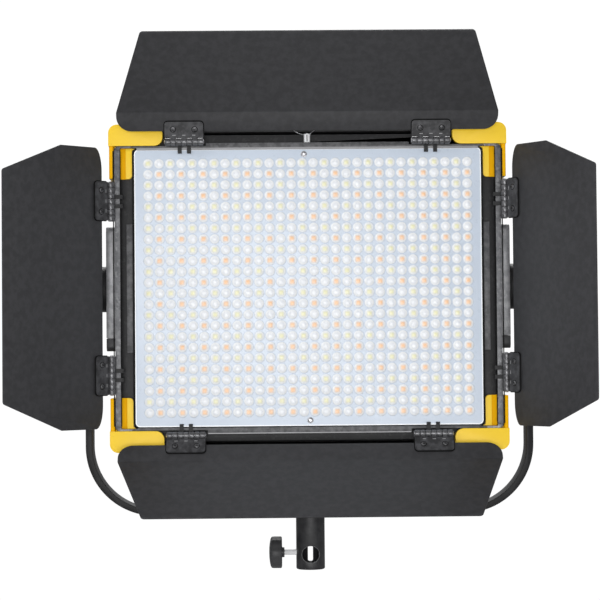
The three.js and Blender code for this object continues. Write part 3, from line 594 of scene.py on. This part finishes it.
for side, flip in (("left", True), ("right", False)):
    ex = Shape()
    ex.add(*lathe([(0, 210.4), (9.0, 210.4), (9.5, 210.9), (9.5, 216), (11.5, 217.6), (12.0, 218.5), (0, 218.5)], "x", (0, 0, 0), 48))
    ex.add(*lathe([(0, 183.5), (3.7, 183.5), (4.2, 184.0), (4.2, 211), (0, 211)], "x", (0, 0, 0), 32))
    lobed_knob("tilt_knob_" + side + "_fine", ["knob"], "tilt_knob_" + side, "tilt_knob_" + side,
               [(217.5, 0, 0), (217.5, 12, 0), (217.6, 16.5, 0.6), (218.2, 18.6, 0.9), (219.6, 19.5, 1), (228.4, 19.5, 1), (230.6, 19.0, 1), (232.2, 17.6, 0.85),
                (233.3, 14.8, 0.5), (233.8, 11.0, 0.15), (234, 7.0, 0), (233.6, 6.4, 0), (233.4, 0, 0)], 8, 3.2, (0, PY, 0), flip, ex)

# ------------------------------------------------------------------ tilt hubs and blocks
for side, flip in (("left", True), ("right", False)):
    m = Matrix.Translation((0, PY, 0)) @ (Matrix.Rotation(math.pi, 4, "Z") if flip else Matrix.Identity(4))
    hub = [(4.8, 190.3), (20.9, 190.3), (21.4, 190.7), (21.5, 191.2), (21.5, 196.6), (21.2, 197.1), (18.4, 198.1), (18.0, 198.5), (18.0, 199.5), (18.4, 199.9),
           (21.2, 200.8), (21.5, 201.3), (21.5, 203.1), (21.0, 203.6), (4.8, 203.6)]
    make("pivot_hub_" + side + "_fine", S(lathe(hub, "x", (0, 0, 0), 72)), ["yoke"], "panel", "pivot_hub_" + side, at=m, smooth=35)
    bl = S(prism(poly([(-14, -46.3), (14, -46.3), (14, 58.5, 5), (-14, 58.5, 5)], 8), 180.8, 190, "x"))
    # the lowest 12 mm of each block takes the darker coat
    bl2 = prism(poly([(-14, -58.5, 5), (14, -58.5, 5), (14, -46.5), (-14, -46.5)], 8), 180.8, 190, "x")
    bl.add(*bl2, 1)
    hole = S(lathe([(0, 183), (4.6, 183), (4.6, 192), (0, 192)], "x", (0, 0, 0), 32))
    make("pivot_block_" + side + "_fine", bl, ["block", "block_dark_lower_end"], "panel", "pivot_block_" + side, at=m, bevel=0.45, seg=2, ops=[("DIFFERENCE", hole)])

# ------------------------------------------------------------------ case
bz = refine("front_bezel", ["bezel", "bezel_painted_shade", "bezel_top_painted_light"], "panel", 0.45, 2)
# front faces keep the bezel coat; painted light and shade: set-back faces above z 131.5 take the lighter copy, the rest
# take the darker copy
for p in bz.data.polygons:
    c = ROW.inverted() @ p.center
    p.material_index = 0 if (c.y < 1.0 or (c.y < 4.2 and abs(c.x) > 163.4)) else (2 if c.z > 131.5 else 1)
lines = Shape()
lines.add(*prism(box_poly(-163.9, -162.7, -126, 126, 0.2, 2), -0.3, 0.4))
lines.add(*prism(box_poly(162.7, 163.9, -126, 126, 0.2, 2), -0.3, 0.4))
for sx in (-1, 1):
    for x0, x1 in ((181.1, 182.1), (174.7, 175.6)):
        a, b = sorted((sx * x0, sx * x1))
        lines.add(*prism(box_poly(a, b, -128.5, 128.5, 0.2, 2), -0.55, 0.6))
make("rail_shadow_lines", lines, ["gap"], "panel", (), smooth=30)
# painted highlight: light lines along the top of the rail and along the bezel's bottom edge
edge = S(prism(box_poly(-159.5, 159.5, 128.7, 130.8, 0.3, 3), -0.75, -0.2))
edge.add(*prism(box_poly(-94.5, 94.5, -136.1, -135.1, 0.2, 2), -0.5, 0.9))
make("painted_highlight_edges", edge, ["painted_highlight_strip"], "panel", ())
refine("rear_housing", ["case"], "panel", 0.5, 2)

for side, s in (("left", -1), ("right", 1)):
    x0, x1 = (175.5, 180.5) if s > 0 else (-180.5, -175.5)
    prof = poly([(-1, -131, 3), (54, -131, 3), (54, 131, 3), (-1, 131, 3)], 6)
    gx0, gx1 = (179.3, 182) if s > 0 else (-182, -179.3)
    groove = S(block(gx0, gx1, 47, 50, -133, 133))
    ops = [("DIFFERENCE", groove)]
    for k in (-1, 1):
        lip = [(s * 175.5, k * 122), (s * 180.5, k * 122), (s * 180.5, k * 132.9, 4), (s * 165, k * 132.9), (s * 165, k * 130.9), (s * 175.5, k * 130.9, 1.4)]
        ops.append(("UNION", S(prism(poly(lip, 7), -0.8, 1.6))))
    make("side_rail_" + side + "_fine", S(prism(prof, x0, x1, "x")), ["rail"], "panel", "side_rail_" + side, bevel=0.6, seg=3, ops=ops)


def bumper(name, sx, sz):
    def mir(pairs):
        s = S(*pairs)
        s.v = [(v[0] * sx, v[1], v[2] * sz) for v in s.v]
        return s
    arm = prism(poly([(135.5, 133, 8), (186, 133), (186, 153, 8), (172, 153, 6), (160, 146.7, 8), (135.5, 146.7, 1.5)], 10), -2, 7.7)
    cap = prism(poly([(166.5, 149.5), (175.6, 149.5), (175.6, 131.4), (186, 131.4), (186, 153, 8), (172, 153, 6), (167, 150.2)], 10), 7, 59)
    outer = prism(poly([(181.2, 0.6, 2), (185.6, 0.6, 2), (185.6, 59), (181.2, 59)], 6), 102.6, 142, "z")
    inner = prism(poly([(164.2, 102.2, 3.5), (175.2, 102.2), (175.2, 134), (164.2, 134)], 6), 6, 7.7)
    inner2 = prism(poly([(164.2, 102.2, 3.5), (170, 102.2), (170, 130.6), (164.2, 130.6)], 6), 2, 6.3)
    inner3 = block(169.5, 175.2, 4.8, 7.7, 102.2, 130.6)
    hollow = prism([(164.4, 127.9), (164.15, 128.7), (163.6, 129.4), (162.8, 130.0), (161.4, 130.6), (168, 130.6), (168, 127.9)], 2.6, 7.7)
    back = prism(poly([(150, 118, 5), (172, 104, 4), (186, 104), (186, 145), (172, 152), (166, 149.6), (150, 149, 2)], 6), 56.4, 59)
    parts = [mir([p]) for p in (cap, outer, back, inner, inner2, inner3, hollow)]
    # painted shade: the outer leg and the inner step take the deeper orange copy of the yellow
    for k in (1, 3, 5):
        parts[k].m = [1] * len(parts[k].f)
    ob = make(name + "_fine", mir([arm]), ["yellow", "yellow_painted_shade"], "panel", name, bevel=0.8, seg=3, limit=35,
              ops=[("UNION", p) for p in parts], smooth=45)
    # the painted shade stays only on the front faces; faces further back than y 8.5 go back to plain yellow
    for p in ob.data.polygons:
        if p.material_index == 1 and (ROW.inverted() @ p.center).y > 8.5:
            p.material_index = 0
    return ob


bumper("bumper_top_left", -1, 1)
bumper("bumper_top_right", 1, 1)
bumper("bumper_bottom_left", -1, -1)
bumper("bumper_bottom_right", 1, -1)

# ------------------------------------------------------------------ lens plate with its domes
plate = S(prism(box_poly(-162, 162, -129.3, 129.3, 4.0, 8), 0.0, 3.0))
lens = make("lens_plate_fine", plate, ["lens"], "panel", "lens_plate", bevel=0.7, seg=3)


def dome_grid():
    vs, fs = [], []
    n, rb, h = 20, 5.0, 1.7
    big = (rb * rb + h * h) / (2 * h)
    rings = [0.0, 0.35, 0.62, 0.82, 0.95, 1.0]
    for row in range(ROWS):
        for col in range(COLS):
            cx, cz = X0 + PX * col, Z0 - PZ * row
            prof = []
            for k in rings[1:]:
                r = rb * k
                prof.append((r, -(math.sqrt(big * big - r * r) - (big - h))))
            o = len(vs)
            vs.append((cx, -h, cz))
            for r, y in prof:
                for i in range(n):
                    t = 2 * math.pi * i / n
                    vs.append((cx + r * math.cos(t), y, cz + r * math.sin(t)))
            b0 = len(vs)
            for i in range(n):
                t = 2 * math.pi * i / n
                vs.append((cx + rb * math.cos(t), 0.35, cz + rb * math.sin(t)))
            for i in range(n):
                fs.append((o, o + 1 + i, o + 1 + (i + 1) % n))
            for k in range(len(prof) - 1):
                a, b = o + 1 + k * n, o + 1 + (k + 1) * n
                for i in range(n):
                    fs.append((a + i, b + i, b + (i + 1) % n, a + (i + 1) % n))
            a = o + 1 + (len(prof) - 1) * n
            for i in range(n):
                fs.append((a + i, b0 + i, b0 + (i + 1) % n, a + (i + 1) % n))
            fs.append(tuple(b0 + i for i in range(n)))
    return vs, fs


domes = S(dome_grid())
me = bpy.data.meshes.new("lens_domes")
me.from_pydata([ROW @ Vector(v) for v in domes.v], [], domes.f)
bm = bmesh.new()
bm.from_mesh(me)
bmesh.ops.recalc_face_normals(bm, faces=bm.faces)
bm.to_mesh(me)
bm.free()
ob = bpy.data.objects.new("lens_domes", me)
bpy.context.scene.collection.objects.link(ob)
finish(ob, ["domes"], "panel", (), 50)

edge_o, edge_i = box_poly(-162, 162, -129.3, 129.3, 4.0, 8), box_poly(-161.1, 161.1, -128.4, 128.4, 3.1, 8)
trim = Shape()
n = len(edge_o)
trim.v = [(u, y, w) for y in (-0.12, 0.5) for pts in (edge_o, edge_i) for u, w in pts]
for a, b in ((0, n), (n, 3 * n), (3 * n, 2 * n), (2 * n, 0)):
    for i in range(n):
        trim.f.append((a + i, a + (i + 1) % n, b + (i + 1) % n, b + i))
        trim.m.append(0)
make("lens_plate_edge", trim, ["trim"], "panel", (), smooth=60)

ps = Shape()
for x, z in ((-3.5, 124.2), (0.5, -124.2)):
    ps.add(*lathe([(0, 0.1), (2.9, 0.1), (2.9, -0.15), (2.5, -0.35), (0, -0.35)], "y", (x, 0, z), 32))
    screw(ps, (x, -0.2, z), (0, -1, 0), 2.2, 0.3, h=0.9)
make("lens_plate_screws", ps, ["steel"], "panel", (), smooth=35)

for n, k in (("led_board", "board"), ("heatsink", "alu"), ("driver_board", "pcb"), ("control_board", "pcb")):
    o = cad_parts[n]
    o.data.materials.clear()
    o.data.materials.append(MAT[k])

# ------------------------------------------------------------------ latch pin
lp = Shape()
lp.add(*lathe([(0, 135.4), (2.85, 135.4), (2.9, 135.6), (2.95, 142.6), (2.6, 143.3), (0.8, 143.5), (0.7, 144.0), (0, 144.0)], "z", (-0.4, 3, 0), 40))
# painted reflection: a dark strip down the front of the near-white pin stands for the dark band between its two
# highlights
lp.add(*block(-0.85, 0.05, -0.15, 0.8, 136.0, 142.4), 1)
make("latch_pin_fine", lp, ["pin", "bore"], "latch", "latch_pin", smooth=40)


# the pull loop: a wire from the pin's top out to both sides and round behind the leaf
loop = []
for i in range(25):
    t = -0.52 * math.pi + 1.04 * math.pi * i / 24
    loop.append((-3.0 + 9.6 * math.sin(t), 5.4 + 0.6 * math.cos(t), 147.2 + 6.6 * math.cos(t)))
left = [(-1.9, 3.4, 143.1), (-5.0, 4.4, 142.9), (-8.8, 5.0, 144.4)]
right = [(4.6, 5.0, 145.3), (2.8, 4.4, 143.7), (0.8, 3.4, 143.1)]
wire("latch_pull_wire", left + loop + right, 0.28, "latch", "steel")

# ------------------------------------------------------------------ barn doors
SEG = 36.0 / 7


def span(i):
    return (-3.5 + i) * SEG + 0.15, (-3.5 + i + 1) * SEG - 0.15


def knuckle(a, b, r=3.5, bore=1.4):
    e = 0.45
    return lathe([(bore, a), (r - e, a), (r - e * 0.3, a + e * 0.3), (r, a + e), (r, b - e), (r - e * 0.3, b - e * 0.3), (r - e, b), (bore, b)], "x", (0, 0, 0), 40)


def hinge_base(kind):
    s = Shape()
    for i in (0, 2, 4, 6):
        a, b = span(i)
        s.add(*knuckle(a, b))
        s.add(*prism(poly([(1.2, -2.6), (4.6, -2.7), (4.6, 2.9), (1.2, 2.9)]), a + 0.25, b - 0.25, "x"))
    if kind == "side":
        s.add(*prism(poly([(4.0, -2.7, 0.4), (17, -2.7, 0.6), (17, 3.2, 1.2), (4.0, 3.2, 0.8)], 5), -17.9, 17.9, "x"))
        y0, y1 = 2.2, 3.6
    else:
        s.add(*prism(poly([(4.0, -2.5, 0.4), (14.2, -2.5, 0.6), (14.2, 3.2, 1.2), (4.0, 3.2, 0.8)], 5), -17.9, 17.9, "x"))
        y0, y1 = 4.2, 5.6
    e = 11.2 if kind == "side" else 10.5
    for c in (-4.3, 4.3):
        s.add(*prism(poly([(y0, 0.6 - e, 0.5), (y0, 1.0), (y1, 1.0), (y1, 1.9 - e, 0.3), (y1 + 0.9, 1.6 - e, 0.3), (y1 + 0.9, 0.1 - e, 0.5), (y0 + 0.2, -e, 0.6)], 4), c - 1.85, c + 1.85, "x"), 1)
        # a pressed rib down the tab
        s.add(*prism(poly([(y0 - 0.3, 1.5 - e, 0.2), (y0 + 0.3, 1.2 - e), (y0 + 0.3, 0.6), (y0 - 0.3, 0.6, 0.1)], 3), c - 0.85, c + 0.85, "x"), 1)
    return s


def hinge_plate():
    body = S(prism(poly([(-18, 4.3, 0.6), (18, 4.3, 0.6), (18, 19.4, 3.2), (-18, 19.4, 3.2)], 8), -0.9, 0.7))
    return body


def plate_parts(x):
    """The moving half of a hinge, at x along the axis."""
    at = Matrix.Translation((x, 0, 0))
    s = Shape()
    # plate with a raised rim and a shallow field
    outer = poly([(-18, 4.3, 0.6), (18, 4.3, 0.6), (18, 19.4, 3.2), (-18, 19.4, 3.2)], 8)
    s.add(*prism(outer, -0.5, 0.7), 0, at)
    rim_o = [Vector(p) for p in outer]
    inner = poly([(-16.9, 4.3, 0.4), (16.9, 4.3, 0.4), (16.9, 18.3, 2.3), (-16.9, 18.3, 2.3)], 8)
    n = len(outer)
    vs, fs = [], []
    for y in (-0.45, -0.9):
        vs += [(p.x, y, p.y) for p in rim_o]
    for y in (-0.9, -0.45):
        vs += [(p[0], y, p[1]) for p in inner]
    for k in range(4):
        a, b = k * n, ((k + 1) % 4) * n
        for i in range(n):
            fs.append((a + i, a + (i + 1) % n, b + (i + 1) % n, b + i))
    s.add(vs, fs, 0, at)
    # painted shadow: a thin dark rim round the plate in the shadow material
    s.add(*prism(poly([(-18.8, 5.2, 0.6), (18.8, 5.2, 0.6), (18.8, 20.2, 4.0), (-18.8, 20.2, 4.0)], 8), 0.1, 0.95), 3, at)
    for i in (1, 3, 5):
        a, b = span(i)
        s.add(*knuckle(a, b), 1, at)
        s.add(*prism(poly([(-0.9, 0.6), (0.7, 0.6), (0.7, 5.2), (-0.9, 5.2)]), a + 0.3, b - 0.3, "x"), 0, at)
    for c in (-9.2, 0.0, 9.2):
        s.add(*block(c - 1.5, c + 1.5, -0.7, -0.3, 6.2, 6.9), 2, at)
    return s


TAGS = {"top": (("l", -115), ("r", 115)), "bottom": (("l", 115), ("r", -115)), "left": (("u", 81), ("d", -81)), "right": (("u", -81), ("d", 81))}
AXES = {"top": ((0, -6.5, 135.9), 0, 21), "bottom": ((0, -6.5, -137.2), 180, 38.3), "left": ((-183.5, -5, 0), -90, 45.8), "right": ((183.5, -5, 0), 90, 57.4)}


def bent_profile():
    a = rad(20)
    pts_f, pts_b = [], []
    for off, out in ((1.0, pts_f), (2.5, pts_b)):
        ks = 28.0 + off * math.tan(a / 2)
        k = (off, ks)
        ty = (off - 1.0) * math.cos(a) + 1.0 - math.sin(a) * 88
        tz = 28.0 + math.tan(a / 2) + math.sin(a) * (off - 1.0) + math.cos(a) * 88
        out.append((off, 10.0))
        out.append(k)
        out.append((ty, tz))
    corners = [(pts_b[0][0], pts_b[0][1]), (pts_b[1][0], pts_b[1][1], 6), (pts_b[2][0], pts_b[2][1]), (pts_f[2][0], pts_f[2][1]), (pts_f[1][0], pts_f[1][1], 4.5), (pts_f[0][0], pts_f[0][1])]
    return poly(corners, 6), pts_b[2][1]


def leaf(name, kind, m):
    if kind == "top":
        prof, zt = bent_profile()
        s = S(prism(prof, -180, 180, "x"))
        out = S(prism(poly([(-177.5, 10, 14), (177.5, 10, 14), (177.5, 28.0), (151.3, zt + 0.02, 4), (-151.3, zt + 0.02, 4), (-177.5, 28.0)], 14), -60, 20))
        return make(name + "_fine", s, ["door"], name, name, at=m, ops=[("INTERSECT", out)], bevel=0.28, seg=2, limit=50)
    pts = []
    for k in range(15):
        t = math.pi / 2 * k / 14
        pts.append((108.3 + 22 * math.sin(t), 18.5 - 8.5 * math.cos(t)))
    pts += [(130.3, 59.3)]
    pts += poly([(130.3, 59.3), (104.6, 127, 3.2), (-104.6, 127, 3.2), (-130.3, 59.3)], 6)[1:-1]
    pts += [(-130.3, 59.3)]
    for k in range(15):
        t = math.pi / 2 * (1 - k / 14)
        pts.append((-(108.3 + 22 * math.sin(t)), 18.5 - 8.5 * math.cos(t)))
    return make(name + "_fine", S(prism(pts, 1.0, 2.5)), ["door"], name, name, at=m, bevel=0.28, seg=2, limit=50)


for d, (origin, turn, rest) in AXES.items():
    kind = "side" if d in ("left", "right") else "top"
    fixed = Matrix.Translation(origin) @ Matrix.Rotation(rad(turn), 4, "Y")
    swing = fixed @ Matrix.Rotation(rad(rest), 4, "X")
    leaf("door_" + d, kind, swing)
    for tag, x in TAGS[d]:
        at = fixed @ Matrix.Translation((x, 0, 0))
        make(f"hinge_base_{d}_{tag}_fine", hinge_base(kind), ["hinge", "tab"], "panel", f"hinge_base_{d}_{tag}", at=at, smooth=38)
        pin = lathe([(0, -18.75), (1.2, -18.7), (1.9, -18.35), (2.0, -18.1), (1.2, -18.05), (1.2, 18.05), (2.0, 18.1), (1.9, 18.35), (1.2, 18.7), (0, 18.75)], "x", (0, 0, 0), 28)
        make(f"hinge_pin_{d}_{tag}_fine", S(pin), ["steel"], "panel", f"hinge_pin_{d}_{tag}", at=at, smooth=45)
        sat = swing @ Matrix.Translation((x, 0, 0))
        make(f"hinge_plate_{d}_{tag}_fine", plate_parts(0), ["plate", "hinge", "slot", "gap"], "door_" + d, f"hinge_plate_{d}_{tag}", at=sat, smooth=38)
        sc = Shape()
        for sx in (-1, 1):
            # painted shadow: a dark disc under each screw head in the shadow material
            sc.add(*lathe([(0, -0.4), (2.9, -0.4), (2.9, -0.6), (2.75, -0.68), (0, -0.68)], "y", (sx * 10, 0, 12.1), 32), 1)
            sc.add(*lathe([(0, -0.4), (2.2, -0.4), (2.2, -0.70), (2.0, -0.80), (0, -0.80)], "y", (sx * 10, 0, 12.1), 32))
            screw(sc, (sx * 10, -0.68, 12.1), (0, -1, 0), 2.0, 0.5 + sx * 0.4, h=0.85)
            sc.add(*lathe([(0, 2.3), (2.6, 2.3), (2.8, 2.5), (2.8, 3.2), (2.4, 3.6), (0, 3.7)], "y", (sx * 10, 0, 12.1), 24))
        make(f"hinge_screws_{d}_{tag}", sc, ["screwblack", "gap"], "door_" + d, (), at=sat, smooth=35)

# ------------------------------------------------------------------ back controls
refine("display_window", ["window"], "panel", 0.4, 2)


def encoder(name, body, x, z):
    def wave(t, i):
        return 1.0 - (0.022 * (0.5 - 0.5 * math.cos(36 * t)) if 3 <= i <= 6 else 0.0)
    s = S(lathe([(0, 57), (12.0, 57), (12.7, 57.3), (13.0, 58.2), (13.0, 58.8), (13.0, 68.2), (12.8, 69.4), (11.9, 70.3), (10.6, 70.6), (9.6, 70.2), (0, 70.0)], "y", (x, 0, z), 144, wave))
    s.add(*lathe([(0, 42), (3.0, 42), (3.2, 42.3), (3.2, 57.4), (0, 57.4)], "y", (x, 0, z), 28))
    s.add(*prism(box_poly(x - 0.5, x + 0.5, z + 5.2, z + 10.2, 0.45, 4), 69.9, 70.58), 1)
    make(name + "_fine", s, ["knob", "mark"], body, name, smooth=30)


encoder("dimmer_knob", "dimmer", -62, -38)
encoder("colour_knob", "colour", 62, -38)
for n, b, x, z in (("menu_button", "menu", -22, -76), ("mode_button", "mode", 22, -76)):
    s = S(lathe([(0, 52), (4.7, 52), (4.9, 52.2), (4.9, 57.4), (4.7, 58.0), (4.1, 58.4), (3.0, 58.3), (0, 58.1)], "y", (x, 0, z), 40))
    s.add(*lathe([(0, 50.5), (6.3, 50.5), (6.4, 50.7), (6.4, 52.1), (6.3, 52.3), (0, 52.3)], "y", (x, 0, z), 32))
    make(n + "_fine", s, ["rubber"], b, n, smooth=40)
refine("power_switch", ["dark"], "power", 0.6, 3)
refine("power_inlet", ["dark"], "panel", 0.4, 2)
bl = Shape()
for dx, dz in ((-7, -1.5), (0, 2), (7, -1.5)):
    bl.add(*block(-118 + dx - 1.15, -118 + dx + 1.15, 41.9, 51.2, -104 + dz - 2.15, -104 + dz + 2.15))
make("inlet_blades", bl, ["steel"], "panel", (), bevel=0.3, seg=2)

bs = Shape()
for x, z in ((-140, 128), (0, 128), (140, 128), (-140, -128), (0, -128), (140, -128), (-164, 0), (164, 0)):
    screw(bs, (x, 56.0, z), (0, 1, 0), 2.9, (x + z) * 0.1, h=0.8)
for sx in (-1, 1):
    for sz in (-1, 1):
        screw(bs, (sx * 168, 59.0, sz * 124), (0, 1, 0), 2.6, 0.3, h=0.8)
    screw(bs, (-118 + sx * 15.9, 58.6, -104), (0, 1, 0), 1.9, 0.2, h=0.8)
make("back_screws", bs, ["steel"], "panel", (), smooth=35)

# ------------------------------------------------------------------ floor, light, picture
floor = bpy.data.meshes.new("floor")
floor.from_pydata([(-30, -30, -0.62), (30, -30, -0.62), (30, 30, -0.62), (-30, 30, -0.62)], [], [(0, 1, 2, 3)])
fo = bpy.data.objects.new("floor", floor)
bpy.context.scene.collection.objects.link(fo)
fm, nt, b, vec = nodes_of("floor_pale")
b.inputs["Base Color"].default_value = (0.42, 0.42, 0.42, 1)
b.inputs["Roughness"].default_value = 0.85
glow = nt.nodes.new("ShaderNodeEmission")
glow.inputs["Color"].default_value = (1.0, 1.0, 1.0, 1)
glow.inputs["Strength"].default_value = 1.03
fpath = nt.nodes.new("ShaderNodeLightPath")
fmix = nt.nodes.new("ShaderNodeMixShader")
nt.links.new(fpath.outputs["Is Camera Ray"], fmix.inputs["Fac"])
nt.links.new(b.outputs["BSDF"], fmix.inputs[1])
nt.links.new(glow.outputs["Emission"], fmix.inputs[2])
fout = [n for n in nt.nodes if n.type == "OUTPUT_MATERIAL"][0]
nt.links.new(fmix.outputs["Shader"], fout.inputs["Surface"])
floor.materials.append(fm)

world = bpy.data.worlds.new("studio")
world.use_nodes = True
wt = world.node_tree
seen = wt.nodes["Background"]
seen.inputs["Color"].default_value = (1.0, 1.0, 1.0, 1)
seen.inputs["Strength"].default_value = 1.05
lit = wt.nodes.new("ShaderNodeBackground")
lit.inputs["Color"].default_value = (0.97, 0.98, 1.0, 1)
lit.inputs["Strength"].default_value = 0.42
path = wt.nodes.new("ShaderNodeLightPath")
pick = wt.nodes.new("ShaderNodeMixShader")
wt.links.new(path.outputs["Is Camera Ray"], pick.inputs["Fac"])
wt.links.new(lit.outputs["Background"], pick.inputs[1])
wt.links.new(seen.outputs["Background"], pick.inputs[2])
wt.links.new(pick.outputs["Shader"], wt.nodes["World Output"].inputs["Surface"])
bpy.context.scene.world = world


def area(name, loc, aim, size, power, size_y=None):
    li = bpy.data.lights.new(name, "AREA")
    li.shape = "RECTANGLE"
    li.size, li.size_y, li.energy = size, size_y or size, power
    ob = bpy.data.objects.new(name, li)
    bpy.context.scene.collection.objects.link(ob)
    ob.location = loc
    ob.rotation_mode = "QUATERNION"
    ob.rotation_quaternion = (Vector(aim) - Vector(loc)).to_track_quat("-Z", "Y")
    return ob


area("front", (-0.25, -2.9, 0.30), (0, 0, 0.27), 1.5, 26, 0.9)
area("low", (0.2, -2.1, -0.25), (0, 0, 0.30), 1.5, 10.5, 0.6)
area("fill", (-1.5, -1.1, 1.4), (0, 0, 0.27), 1.2, 8)
area("back_top", (0.1, 1.7, 1.9), (0, 0, 0.22), 2.0, 36, 1.2)

view = bpy.context.scene.view_settings
view.view_transform = "Standard"
view.look = "None"
